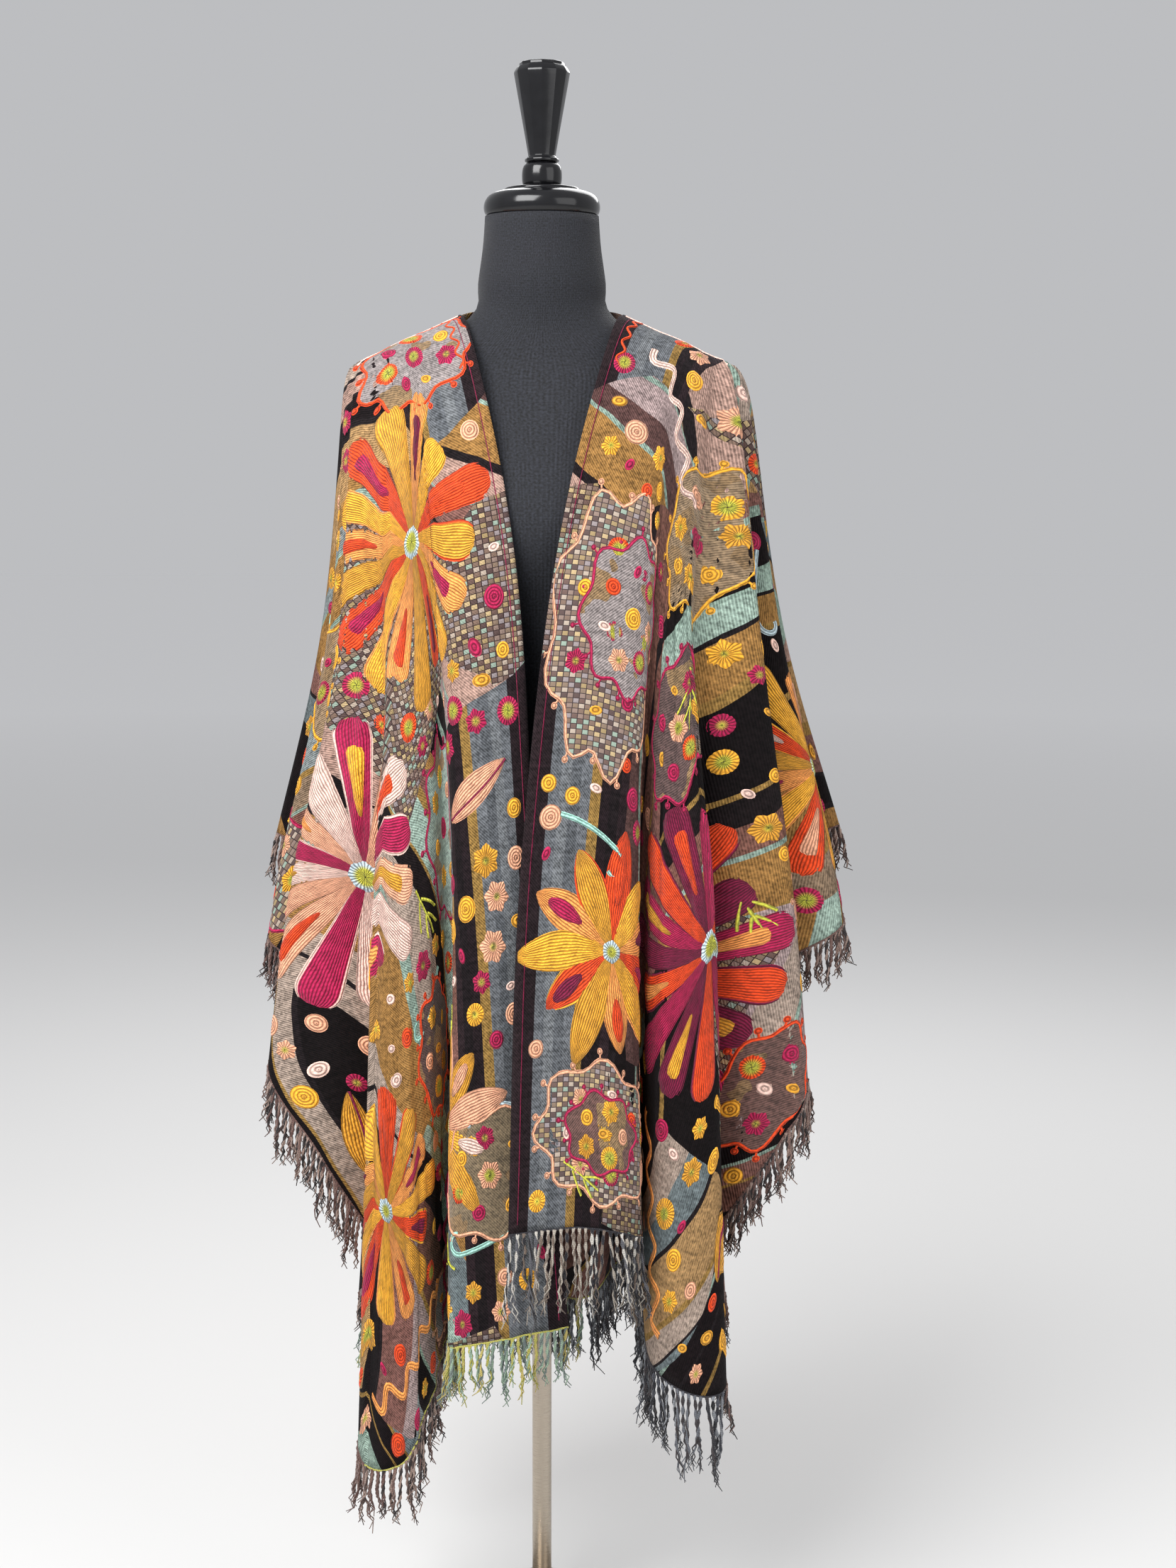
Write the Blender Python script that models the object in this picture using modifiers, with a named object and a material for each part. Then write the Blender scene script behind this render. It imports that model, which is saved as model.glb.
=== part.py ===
"""Embroidered ruana worn on a limbless dress form with a turned cap, a pole and a round base.

Metres, +Z up. The front of the garment faces -Y, so the wearer's right is at -X.
The origin is on the floor, under the middle of the base.

The ruana is one woven rectangle with a slit up the middle of its front. Every thread of it hangs
from the shoulder line: a fold table gives, for chosen threads, where the thread passes the
shoulder, chest, waist and hem, and the threads between them follow smooth curves. Each panel is
a wall through such threads, its outer side moved out by the thickness of the cloth.
"""
import math

import bmesh
import bpy
import numpy as np
from mathutils import Vector

# Stand, from the floor up
BASE_RADIUS = 0.127
BASE_THICKNESS = 0.012
SOCKET_RADIUS = 0.019
SOCKET_TOP = 0.060
POLE_RADIUS = 0.011
LIFT = 0.070            # the tables below give heights above this level
GAP = 0.0003            # between pieces that touch
SEAM_HALF = 0.0002      # each side's share of the gap where front and back meet at the side

# Ruana, laid flat
HALF_WIDTH = 0.69       # centre of the front to the side edge
RIDGE_LENGTH = 0.14     # neck point to shoulder tip
SIDE_REACH = 1.015      # how far the side edge runs from the front corner to the mid side
ACROSS = HALF_WIDTH + SIDE_REACH
CLOTH = 0.0018          # thickness of the wool cloth
CLEARANCE = 0.0005      # cloth to form, where the cloth lies on it
DEEPEST = 0.3           # no thread is pushed out from further in than this share of the form
FILL = 0.0014           # the form fills what the steps of the drape leave free

# Ruana, as worn: the right half is the mirror of these places
NECK_POINT = (0.088, 0.004, 1.4232)
SHOULDER_TIP = (0.203, 0.020, 1.372)
NAPE = (0.0, 0.071, 1.436)
NECK_SHARE = 0.45       # where the back's start line passes the neck point
SPREAD = 0.25           # how quickly threads crowd to the shoulder tip
EVEN_SHARE = 0.25       # part of the shoulder line that they share evenly
LEVELS = (0.0, 0.30, 0.62, 1.05)   # distance down a thread: shoulder, chest, waist, hem
FULLNESS = (0.0, 0.06, 0.28, 0.45)   # least width of cloth used for each metre of it, there

DRAPE_STEPS = 170       # steps down the longest thread
LONGEST_THREAD = 1.45
SETTLING = 1.04         # how far down a thread its first ring is reached, per metre to it
LEAST_REACH = 0.004     # the same, for a thread that starts on its ring
LEAST_DROP = 0.15       # share of each step that goes down, at least
FOLD_COLUMNS = 3        # columns from one fold to the next
CLOTH_ROWS = 16
ROW_CROWDING = 1.25     # rows lie closer together at the shoulder

# fold, place along the lower edge, x y at shoulder, chest, waist and hem level, height of the edge
RIGHT_FRONT_FOLDS = (
    ("front_edge", 0.00, 0.087, -0.058, 0.030, -0.138, 0.008, -0.158, -0.022, -0.158, 0.345),
    ("inner_mid", 0.08, 0.108, -0.060, 0.064, -0.141, 0.046, -0.166, 0.036, -0.172, 0.338),
    ("inner_fold", 0.16, 0.126, -0.058, 0.096, -0.136, 0.084, -0.164, 0.090, -0.172, 0.328),
    ("inner_valley", 0.33, 0.148, -0.056, 0.114, -0.127, 0.098, -0.122, 0.098, -0.060, 0.300),
    ("outer_start", 0.49, 0.163, -0.054, 0.126, -0.124, 0.122, -0.142, 0.124, -0.138, 0.250),
    ("outer_mid", 0.61, 0.175, -0.050, 0.142, -0.117, 0.150, -0.150, 0.154, -0.160, 0.191),
    ("corner_fold", 0.73, 0.185, -0.045, 0.160, -0.104, 0.176, -0.136, 0.192, -0.142, 0.202),
    ("corner_valley", 0.90, 0.194, -0.037, 0.170, -0.082, 0.160, -0.078, 0.160, -0.050, 0.360),
    ("side_start", 1.03, 0.199, -0.030, 0.190, -0.062, 0.218, -0.070, 0.254, -0.072, 0.505),
    ("side_fold", 1.14, 0.203, -0.020, 0.216, -0.040, 0.278, -0.046, 0.330, -0.038, 0.605),
    ("side_valley", 1.29, 0.207, -0.008, 0.206, -0.012, 0.184, -0.016, 0.168, -0.012, 0.675),
    ("rear_fold", 1.44, 0.210, 0.004, 0.234, 0.010, 0.302, 0.006, 0.350, 0.008, 0.740),
    ("rear_valley", 1.57, 0.212, 0.012, 0.224, 0.030, 0.218, 0.032, 0.234, 0.036, 0.800),
    ("mid_side", 1.705, 0.213, 0.022, 0.246, 0.050, 0.320, 0.066, 0.400, 0.074, 0.848),
)
LEFT_FRONT_FOLDS = (
    ("front_edge", 0.00, 0.087, -0.058, 0.018, -0.142, -0.020, -0.174, -0.036, -0.202, 0.461),
    ("inner_mid", 0.10, 0.111, -0.060, 0.060, -0.144, 0.040, -0.180, 0.036, -0.206, 0.470),
    ("inner_fold", 0.21, 0.134, -0.058, 0.102, -0.137, 0.092, -0.172, 0.100, -0.186, 0.454),
    ("inner_valley", 0.38, 0.152, -0.056, 0.120, -0.127, 0.102, -0.118, 0.100, -0.055, 0.400),
    ("outer_start", 0.53, 0.166, -0.053, 0.132, -0.123, 0.124, -0.148, 0.120, -0.148, 0.300),
    ("corner_fold", 0.71, 0.182, -0.046, 0.154, -0.110, 0.178, -0.150, 0.194, -0.154, 0.279),
    ("corner_valley", 0.87, 0.192, -0.038, 0.164, -0.086, 0.158, -0.080, 0.158, -0.052, 0.370),
    ("side_start", 0.99, 0.200, -0.031, 0.194, -0.070, 0.214, -0.088, 0.236, -0.090, 0.485),
    ("side_fold", 1.11, 0.206, -0.021, 0.232, -0.052, 0.274, -0.064, 0.310, -0.060, 0.590),
    ("side_valley", 1.27, 0.212, -0.008, 0.214, -0.020, 0.192, -0.028, 0.174, -0.026, 0.675),
    ("rear_fold", 1.43, 0.217, 0.004, 0.260, 0.000, 0.334, -0.006, 0.376, -0.008, 0.762),
    ("rear_valley", 1.56, 0.220, 0.013, 0.244, 0.026, 0.238, 0.024, 0.250, 0.026, 0.812),
    ("mid_side", 1.705, 0.222, 0.022, 0.268, 0.048, 0.358, 0.062, 0.424, 0.070, 0.858),
)
# from the centre of the back outwards; the mid side comes from the front's table
BACK_FOLDS = (
    ("centre", 0.00, 0.000, 0.076, 0.000, 0.134, 0.000, 0.172, 0.000, 0.188, 0.262),
    ("valley_a", 0.17, 0.064, 0.066, 0.052, 0.125, 0.048, 0.132, 0.050, 0.086, 0.295),
    ("fold_a", 0.34, 0.110, 0.064, 0.096, 0.128, 0.098, 0.172, 0.104, 0.190, 0.300),
    ("valley_b", 0.51, 0.150, 0.062, 0.128, 0.115, 0.130, 0.124, 0.132, 0.084, 0.295),
    ("fold_b", 0.69, 0.174, 0.060, 0.160, 0.118, 0.186, 0.170, 0.212, 0.186, 0.255),
    ("valley_c", 0.86, 0.190, 0.056, 0.174, 0.106, 0.164, 0.112, 0.164, 0.094, 0.360),
    ("fold_c", 1.02, 0.203, 0.051, 0.212, 0.100, 0.262, 0.146, 0.304, 0.162, 0.520),
    ("valley_d", 1.20, 0.208, 0.045, 0.208, 0.080, 0.206, 0.078, 0.214, 0.066, 0.620),
    ("fold_d", 1.39, 0.213, 0.037, 0.236, 0.080, 0.300, 0.112, 0.344, 0.124, 0.740),
    ("valley_e", 1.56, 0.216, 0.029, 0.226, 0.062, 0.222, 0.066, 0.238, 0.072, 0.805),
)

# Fringe
STRIP_HEIGHT = 0.0040
STRIP_GAP = 0.0020      # down the threads, cloth to strip
STRIP_END = 0.0015      # left free at each end of an edge
STRAND_SPACING = 0.034
FOLD_TURN = 0.2         # cosine of the turn past which a corner of the edge is a fold
FOLD_ROOM = 0.012       # no strand nearer than this to a fold
STRAND_WIDTH = 0.0050   # at the root, along the strip
STRAND_RADIUS = 0.0019  # half the side of its square section
STRAND_BODY = 0.78      # share of the length above the tapered tip
# edge, first and last place along the lower edge
FRINGE_EDGES = (
    ("hem", 0.0, HALF_WIDTH),
    ("side", HALF_WIDTH, ACROSS),
)
# shortest and longest strand
STRAND_LENGTHS = {
    "right_front_hem_fringe": (0.050, 0.076),
    "right_front_side_fringe": (0.048, 0.078),
    "left_front_hem_fringe": (0.076, 0.112),
    "left_front_side_fringe": (0.042, 0.064),
    "back_right_side_fringe": (0.042, 0.064),
    "back_hem_fringe": (0.062, 0.098),
    "back_left_side_fringe": (0.042, 0.064),
}

# Dress form: height, half width, half depth, centre y, squareness of the section
FORM_SECTIONS = (
    (0.735, 0.140, 0.098, 0.006, 2.2),
    (0.800, 0.152, 0.108, 0.006, 2.2),
    (0.900, 0.146, 0.104, 0.004, 2.2),
    (1.020, 0.122, 0.088, 0.002, 2.1),
    (1.110, 0.132, 0.100, -0.004, 2.1),
    (1.200, 0.146, 0.119, -0.010, 2.2),
    (1.290, 0.156, 0.100, 0.002, 2.3),
    (1.335, 0.170, 0.080, 0.004, 2.3),
    (1.358, 0.181, 0.066, 0.004, 2.2),
    (1.368, 0.182, 0.060, 0.004, 2.1),
    (1.385, 0.157, 0.056, 0.004, 2.0),
    (1.410, 0.092, 0.053, 0.004, 2.0),
    (1.430, 0.070, 0.056, 0.005, 2.0),
    (1.455, 0.068, 0.061, 0.006, 2.0),
    (1.500, 0.062, 0.059, 0.006, 2.0),
    (1.5285, 0.060, 0.058, 0.006, 2.0),
)
FORM_SIDES = 28
FORM_BOTTOM = FORM_SECTIONS[0][0] + LIFT
FORM_TOP = FORM_SECTIONS[-1][0] + LIFT
NECK_Y = FORM_SECTIONS[-1][3]
POLE_Y = 0.0

# Turned pieces above the neck: radius, height above the piece's own underside
CAP_PROFILE = (
    (0.0595, 0.0), (0.0622, 0.004), (0.0630, 0.010), (0.0615, 0.016), (0.0575, 0.0215),
    (0.0500, 0.025), (0.0420, 0.0265), (0.0400, 0.0275), (0.0385, 0.030), (0.0, 0.030),
)
BEAD_PROFILE = (
    (0.0165, 0.0), (0.0205, 0.003), (0.0217, 0.009), (0.0215, 0.017), (0.0200, 0.0225),
    (0.0170, 0.026), (0.0, 0.026),
)
FINIAL_PROFILE = (
    (0.0172, 0.0), (0.0186, 0.0015), (0.0186, 0.004), (0.0146, 0.0065), (0.0222, 0.049),
    (0.0302, 0.093), (0.0262, 0.1005), (0.0240, 0.105), (0.0, 0.105),
)
FINIAL_FACETS = 12
TURNED_STEPS = 32
BASE_STEPS = 48
POLE_STEPS = 24


def clear_scene():
    for item in list(bpy.data.objects):
        bpy.data.objects.remove(item, do_unlink=True)


def new_collection(name):
    collection = bpy.data.collections.new(name)
    bpy.context.scene.collection.children.link(collection)
    return collection


def new_material(name, colour, roughness, metallic=0.0):
    material = bpy.data.materials.new(name)
    material.use_nodes = True
    shader = material.node_tree.nodes["Principled BSDF"]
    shader.inputs["Base Color"].default_value = (*colour, 1.0)
    shader.inputs["Roughness"].default_value = roughness
    shader.inputs["Metallic"].default_value = metallic
    material.diffuse_color = (*colour, 1.0)
    return material


def add_object(name, mesh, collection, material):
    item = bpy.data.objects.new(name, mesh)
    item.data.materials.append(material)
    collection.objects.link(item)
    return item


def smooth_curve(places, values, at, fullness=None):
    """Cubic curve through values at places, read at the places in at.

    With fullness, the curve runs at least that fast past each place, which rounds the folds.
    """
    places = np.asarray(places, float)
    values = np.asarray(values, float)
    slopes = np.gradient(values, places, axis=0)
    if fullness is not None:
        speed = np.maximum(np.linalg.norm(slopes, axis=-1, keepdims=True), 1e-6)
        slopes = slopes * np.maximum(1, np.asarray(fullness)[:, None] / speed)
    i = np.clip(np.searchsorted(places, at, side="right") - 1, 0, len(places) - 2)
    shape = (len(at),) + (1,) * (values.ndim - 1)
    step = (places[i + 1] - places[i]).reshape(shape)
    t = (at - places[i]).reshape(shape) / step
    rise = t * t * (3 - 2 * t)
    leave = t * (1 - t) ** 2 * step
    arrive = t * t * (t - 1) * step
    return values[i] * (1 - rise) + values[i + 1] * rise + leave * slopes[i] + arrive * slopes[i + 1]


def form_section(heights):
    """Half width, half depth, centre y and squareness of the dress form at each height."""
    table = np.array(FORM_SECTIONS)
    inside = np.clip(heights, table[0, 0], table[-1, 0])
    return smooth_curve(table[:, 0], table[:, 1:], inside).T


def ridge_share(edge):
    """Share of the way from the neck point to the shoulder tip where a thread starts."""
    crowded = (1 - np.exp(-edge / SPREAD)) / (1 - math.exp(-ACROSS / SPREAD))
    return crowded * (1 - EVEN_SHARE) + EVEN_SHARE * edge / ACROSS


def thread_starts(edge, back):
    """Start of each thread on the shoulder line, or round the nape for the back's middle."""
    share = ridge_share(edge)
    neck, tip, nape = map(np.array, (NECK_POINT, SHOULDER_TIP, NAPE))
    if not back:
        return neck + (tip - neck) * share[:, None]
    turn = np.clip(share / NECK_SHARE, 0, 1) * math.pi / 2
    round_nape = np.column_stack([
        neck[0] * np.sin(turn),
        neck[1] + (nape[1] - neck[1]) * np.cos(turn),
        neck[2] + (nape[2] - neck[2]) * np.cos(turn),
    ])
    along = np.clip((share - NECK_SHARE) / (1 - NECK_SHARE), 0, 1)[:, None]
    on_ridge = neck + (tip - neck) * along
    return np.where((share < NECK_SHARE)[:, None], round_nape, on_ridge)


def level_places(rings, distance):
    """Where the threads stand, in plan, at one distance down from the shoulder line."""
    if distance >= LEVELS[-1]:
        lean = (rings[:, 3] - rings[:, 2]) / (LEVELS[3] - LEVELS[2])
        return rings[:, 3] + lean * (distance - LEVELS[3])
    return smooth_curve(LEVELS, np.moveaxis(rings, 1, 0), np.array([distance]))[0]


def keep_off_form(places, heights):
    """Push plan places out to the clearance round the dress form."""
    width, depth, middle, square = form_section(heights)
    width = width + CLEARANCE
    depth = depth + CLEARANCE
    off = np.abs(places[:, 0] / width) ** square + np.abs((places[:, 1] - middle) / depth) ** square
    off = off ** (1 / square)
    inside = (off < 1) & (heights > FORM_SECTIONS[0][0])
    grow = np.where(inside, 1 / np.maximum(off, DEEPEST), 1)
    return np.column_stack([places[:, 0] * grow, middle + (places[:, 1] - middle) * grow])


def half_round(front_folds):
    """Fold rows from the front edge round the side to the centre of the back, and one past it."""
    front_rows = [row[1:] for row in front_folds]
    back_rows = [(2 * ACROSS - row[1],) + row[2:] for row in reversed(BACK_FOLDS)]
    rows = np.array(front_rows + back_rows, float)
    past = rows[-2].copy()
    past[0] = 2 * rows[-1][0] - past[0]
    past[1:9:2] *= -1
    return np.vstack([rows, past])


def thread_paths(front_folds, edge, back):
    """Each thread at every step down it, at its true length, and the height of its lower end."""
    rows = half_round(front_folds)
    round_half = 2 * ACROSS - edge if back else edge
    plan = rows[:, 1:9].reshape(len(rows), 4, 2)
    rings = smooth_curve(rows[:, 0], plan, round_half, FULLNESS)
    ends = smooth_curve(rows[:, 0], rows[:, 9], round_half)
    start = thread_starts(edge, back)
    step = LONGEST_THREAD / DRAPE_STEPS
    place = start[:, :2].copy()
    height = start[:, 2].copy()
    leaving = np.linalg.norm(rings[:, 0] - place, axis=1)
    leaving = np.maximum(leaving, LEAST_REACH) * SETTLING
    paths = [np.column_stack([place, height])]
    for k in range(1, DRAPE_STEPS + 1):
        distance = k * step
        settled = (1 - np.exp(-distance / leaving))[:, None]
        drift = level_places(rings, distance) - rings[:, 0]
        target = start[:, :2] + settled * (rings[:, 0] - start[:, :2]) + drift
        target = keep_off_form(target, height - step)
        across = np.linalg.norm(target - place, axis=1)
        down = np.sqrt(np.maximum(step ** 2 - across ** 2, (LEAST_DROP * step) ** 2))
        height = height - down
        place = target
        paths.append(np.column_stack([place, height]))
    return np.array(paths), ends


def panel_grid(front_folds, edge, back=False):
    """Grid of points, rows down the threads and one column for each place along the edge."""
    paths, ends = thread_paths(front_folds, edge, back)
    rows = np.linspace(0, 1, CLOTH_ROWS) ** ROW_CROWDING
    grid = np.zeros((CLOTH_ROWS, len(edge), 3))
    for j, end in enumerate(ends):
        path = paths[:, j]
        last = np.interp(-end, -path[:, 2], np.arange(len(path)))
        for axis in range(3):
            grid[:, j, axis] = np.interp(rows * last, np.arange(len(path)), path[:, axis])
    grid[..., 2] += LIFT
    grid[0, :, 1] += GAP if back else -GAP
    return grid


def fold_columns(folds):
    """Places along the lower edge for the columns: even steps between folds, and the corner."""
    places = [row[1] for row in folds]
    columns = [HALF_WIDTH]
    for first, last in zip(places, places[1:]):
        columns.extend(np.linspace(first, last, FOLD_COLUMNS + 1)[:-1])
    columns.append(places[-1])
    return np.unique(np.round(columns, 4))


def mirrored(grid):
    """The grid on the wearer's right, its columns in the same order."""
    return grid * np.array([-1, 1, 1])


def open_seam(grid):
    """Draw the last column back from the mid side, for the gap between front and back."""
    moved = grid.copy()
    way = grid[:, -2] - grid[:, -1]
    length = np.maximum(np.linalg.norm(way, axis=1, keepdims=True), 1e-6)
    moved[:, -1] += way / length * np.minimum(SEAM_HALF, length / 2)
    return moved


def unit(vectors):
    return vectors / np.maximum(np.linalg.norm(vectors, axis=-1, keepdims=True), 1e-9)


def column_bends(grid):
    """How sharply each row turns at each column: 0 where it runs straight."""
    runs = unit(np.diff(grid, axis=1))
    bends = np.zeros(grid.shape[:2])
    bends[:, 1:-1] = 1 - np.sum(runs[:, 1:] * runs[:, :-1], axis=2)
    return bends


def grid_normals(grid, outward):
    """Outward direction at each point, halfway between the cloth on its two sides."""
    falls = unit(np.diff(grid, axis=0))
    down = unit(np.concatenate([falls[:1], falls[:-1] + falls[1:], falls[-1:]]))
    steps = np.diff(grid, axis=1)
    arriving = np.concatenate([steps[:, :1], steps], axis=1)
    leaving = np.concatenate([steps, steps[:, -1:]], axis=1)
    along = unit(square_to(arriving, down)) + unit(square_to(leaving, down))
    return unit(np.cross(down, along)) * outward


def square_to(vectors, axis):
    """What is left of the vectors without their share along the axis."""
    return vectors - axis * np.sum(vectors * axis, axis=-1, keepdims=True)


def level_top(normals, grid, columns):
    """Stand the wall's top edge square on the shoulder line at these columns."""
    slope = unit(np.array(SHOULDER_TIP) - np.array(NECK_POINT))
    side = np.sign(grid[0, columns, 0])
    normals[0, columns] = np.column_stack([-slope[2] * side, 0 * side, slope[0] + 0 * side])


def wall_mesh(name, grid, normals, outward):
    """Closed wall: the grid, the same grid moved out by the cloth's thickness, and its rims."""
    rows, columns = grid.shape[:2]
    inner = grid.reshape(-1, 3)
    outer = inner + normals.reshape(-1, 3) * CLOTH
    shift = len(inner)
    bends = column_bends(grid)
    faces = []
    for i in range(rows - 1):
        for j in range(columns - 1):
            a = i * columns + j
            b, c, d = a + 1, a + columns + 1, a + columns
            sharper_first = bends[i + 1, j] > bends[i + 1, j + 1]
            halves = ((a, b, c), (a, c, d)) if sharper_first else ((a, b, d), (b, c, d))
            for half in halves:
                faces.append(half)
                faces.append(tuple(k + shift for k in reversed(half)))
    top = list(range(columns))
    right = [i * columns + columns - 1 for i in range(rows)]
    bottom = list(range(rows * columns - 1, (rows - 1) * columns - 1, -1))
    left = [i * columns for i in reversed(range(rows))]
    for side in (top, right, bottom, left):
        for first, second in zip(side, side[1:]):
            faces.append((second, first, first + shift, second + shift))
    if outward < 0:
        faces = [face[::-1] for face in faces]
    mesh = bpy.data.meshes.new(name)
    mesh.from_pydata([tuple(point) for point in np.vstack([inner, outer])], [], faces)
    mesh.update()
    return mesh


def fringe_stations(hem, run):
    """Places along an edge where its strip has a ring, and which of them begin a strand."""
    first, last = STRIP_END, run[-1] - STRIP_END
    corners = [first] + [place for place in run[1:-1] if first < place < last] + [last]
    steps = unit(np.diff(hem, axis=0))
    folded = np.sum(steps[1:] * steps[:-1], axis=1) < FOLD_TURN
    rooms = [STRAND_WIDTH / 2 + (FOLD_ROOM if fold else STRIP_END) for fold in folded]
    rooms = [STRAND_WIDTH / 2 + STRIP_END] + rooms + [STRAND_WIDTH / 2 + STRIP_END]
    count = int((last - first) / STRAND_SPACING)
    strands = []
    for k in range(count):
        middle = first + (last - first) * (k + 0.5) / count
        i = min(np.searchsorted(corners, middle) - 1, len(corners) - 2)
        low, high = corners[i] + rooms[i], corners[i + 1] - rooms[i + 1]
        if low < high:
            strands.append(min(max(middle, low), high))
    begins = [middle - STRAND_WIDTH / 2 for middle in strands]
    ends = [middle + STRAND_WIDTH / 2 for middle in strands]
    stations = sorted(corners + begins + ends)
    return stations, set(begins)


def add_fringe(name, grid, normals, first, last, phase, collection, material):
    """Strip parted from the cloth's lower edge, and strands that grow from its lower side."""
    shortest, longest = STRAND_LENGTHS[name]
    hem = grid[-1, first:last + 1]
    falls = unit(grid[-1] - grid[-2])[first:last + 1]
    rim = hem + normals[-1, first:last + 1] * CLOTH
    run = np.concatenate([[0], np.cumsum(np.linalg.norm(np.diff(hem, axis=0), axis=1))])
    stations, begins = fringe_stations(hem, run)
    mesh = bpy.data.meshes.new(name)
    strip = bmesh.new()
    rings = []
    for at in stations:
        inner = interpolate(run, hem, at)
        outer = interpolate(run, rim, at)
        fall = unit(interpolate(run, falls, at))
        low = fall * (STRIP_GAP + STRIP_HEIGHT)
        ring = (inner + fall * STRIP_GAP, outer + fall * STRIP_GAP, outer + low, inner + low)
        rings.append([strip.verts.new(Vector(point)) for point in ring])
    strip.faces.new(rings[0])
    strip.faces.new(rings[-1][::-1])
    number = 0
    for at, near, far in zip(stations, rings, rings[1:]):
        sides = [(near[k], far[k], far[(k + 1) % 4], near[(k + 1) % 4]) for k in range(4)]
        if at in begins:
            swing = 0.5 + 0.5 * math.sin(1.7 * number + phase)
            length = shortest + (longest - shortest) * swing
            add_strand(strip, sides.pop(2), unit(interpolate(run, falls, at)), length,
                       math.sin(2.4 * number + phase))
            number += 1
        for side in sides:
            strip.faces.new(side)
    bmesh.ops.recalc_face_normals(strip, faces=strip.faces)
    strip.to_mesh(mesh)
    strip.free()
    return add_object(name, mesh, collection, material)


def add_strand(strip, root, fall, length, sway):
    """One lock of fringe: leaves the strip along the cloth, then hangs, with a little sway."""
    corners = [np.array(corner.co) for corner in root]
    foot = sum(corners) / 4
    along = unit(corners[1] - corners[0])
    thick = unit(corners[1] - corners[2])
    hanging = np.array([0.0, 0.0, -1.0])
    way = unit(fall * 0.9 + hanging * 0.1 + along * 0.04 * sway)
    waist = foot + way * length * STRAND_BODY
    tip = waist + unit(way + hanging * 0.2 - along * 0.08 * sway) * length * (1 - STRAND_BODY)
    ring = []
    for one, other in ((-1, 1), (1, 1), (1, -1), (-1, -1)):
        ring.append(strip.verts.new(Vector(waist + (along * one + thick * other) * STRAND_RADIUS)))
    end = strip.verts.new(Vector(tip))
    for k in range(4):
        j = (k + 1) % 4
        strip.faces.new((root[k], root[j], ring[j], ring[k]))
        strip.faces.new((ring[k], ring[j], end))


def interpolate(places, values, at):
    return np.array([np.interp(at, places, values[:, axis]) for axis in range(values.shape[1])])


def loft(name, rings):
    """Closed solid through rings of points, with a flat cap at each end."""
    count, sides = rings.shape[:2]
    points = [tuple(point) for point in rings.reshape(-1, 3)]
    faces = [tuple(range(sides)), tuple(range((count - 1) * sides, count * sides))[::-1]]
    for i in range(count - 1):
        for j in range(sides):
            k = (j + 1) % sides
            faces.append((i * sides + j, (i + 1) * sides + j, (i + 1) * sides + k, i * sides + k))
    mesh = bpy.data.meshes.new(name)
    mesh.from_pydata(points, [], faces)
    turned = bmesh.new()
    turned.from_mesh(mesh)
    bmesh.ops.recalc_face_normals(turned, faces=turned.faces)
    turned.to_mesh(mesh)
    turned.free()
    return mesh


def columns_between(edge, first, last):
    return np.where((edge >= first - 1e-6) & (edge <= last + 1e-6))[0]


def add_ruana(collection, cloth, yarn):
    """Right front, left front and back, and the fringe along each of their lower edges."""
    fronts = {}
    backs = {}
    back_edge = fold_columns(BACK_FOLDS + (RIGHT_FRONT_FOLDS[-1],))
    on_ridge = np.where(ridge_share(back_edge) >= NECK_SHARE)[0]
    for side, folds in (("right", RIGHT_FRONT_FOLDS), ("left", LEFT_FRONT_FOLDS)):
        edge = fold_columns(folds)
        front = open_seam(panel_grid(folds, edge))
        back = open_seam(panel_grid(folds, back_edge, back=True))
        front_normals = grid_normals(front, 1)
        back_normals = grid_normals(back, -1)
        level_top(front_normals, front, np.arange(len(edge)))
        level_top(back_normals, back, on_ridge)
        shared = unit(front_normals[:, -1] + back_normals[:, -1])
        front_normals[:, -1] = shared
        back_normals[:, -1] = shared
        if side == "right":
            front, front_normals = mirrored(front), mirrored(front_normals)
            back, back_normals = mirrored(back), mirrored(back_normals)
        fronts[side] = (front, front_normals, edge)
        backs[side] = (back, back_normals)

    facing = {"right": -1, "left": 1}
    for number, side in enumerate(("right", "left")):
        front, normals, edge = fronts[side]
        name = side + "_front"
        add_object(name, wall_mesh(name, front, normals, facing[side]), collection, cloth)
        for kind, first, last in FRINGE_EDGES:
            columns = columns_between(edge, first, last)
            add_fringe(f"{name}_{kind}_fringe", front, normals, columns[0], columns[-1],
                       number, collection, yarn)

    whole = [np.concatenate([backs["right"][k][:, ::-1], backs["left"][k][:, 1:]], axis=1)
             for k in (0, 1)]
    middle = len(back_edge) - 1
    whole[1][:, middle] = unit(backs["right"][1][:, 0] + backs["left"][1][:, 0])
    add_object("back", wall_mesh("back", *whole, -1), collection, cloth)
    hem = len(columns_between(back_edge, 0, HALF_WIDTH)) - 1
    spans = (
        ("back_right_side_fringe", 0, middle - hem),
        ("back_hem_fringe", middle - hem, middle + hem),
        ("back_left_side_fringe", middle + hem, 2 * middle),
    )
    for number, (name, first, last) in enumerate(spans):
        add_fringe(name, *whole, first, last, 2 + number, collection, yarn)


def add_form(collection, jersey):
    """Smooth limbless torso with its neck, through superellipse sections."""
    heights = np.array([row[0] for row in FORM_SECTIONS])
    width, depth, middle, square = form_section(heights)
    rings = []
    for k, height in enumerate(heights):
        ring = []
        for side in range(FORM_SIDES):
            angle = 2 * math.pi * side / FORM_SIDES
            c, s = math.cos(angle), math.sin(angle)
            power = 2 / square[k]
            x = (width[k] + FILL) * math.copysign(abs(c) ** power, c)
            y = middle[k] + (depth[k] + FILL) * math.copysign(abs(s) ** power, s)
            ring.append((x, y, height + LIFT))
        rings.append(ring)
    item = add_object("torso_form", loft("torso_form", np.array(rings)), collection, jersey)
    item.data.shade_smooth()
    return item


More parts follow.
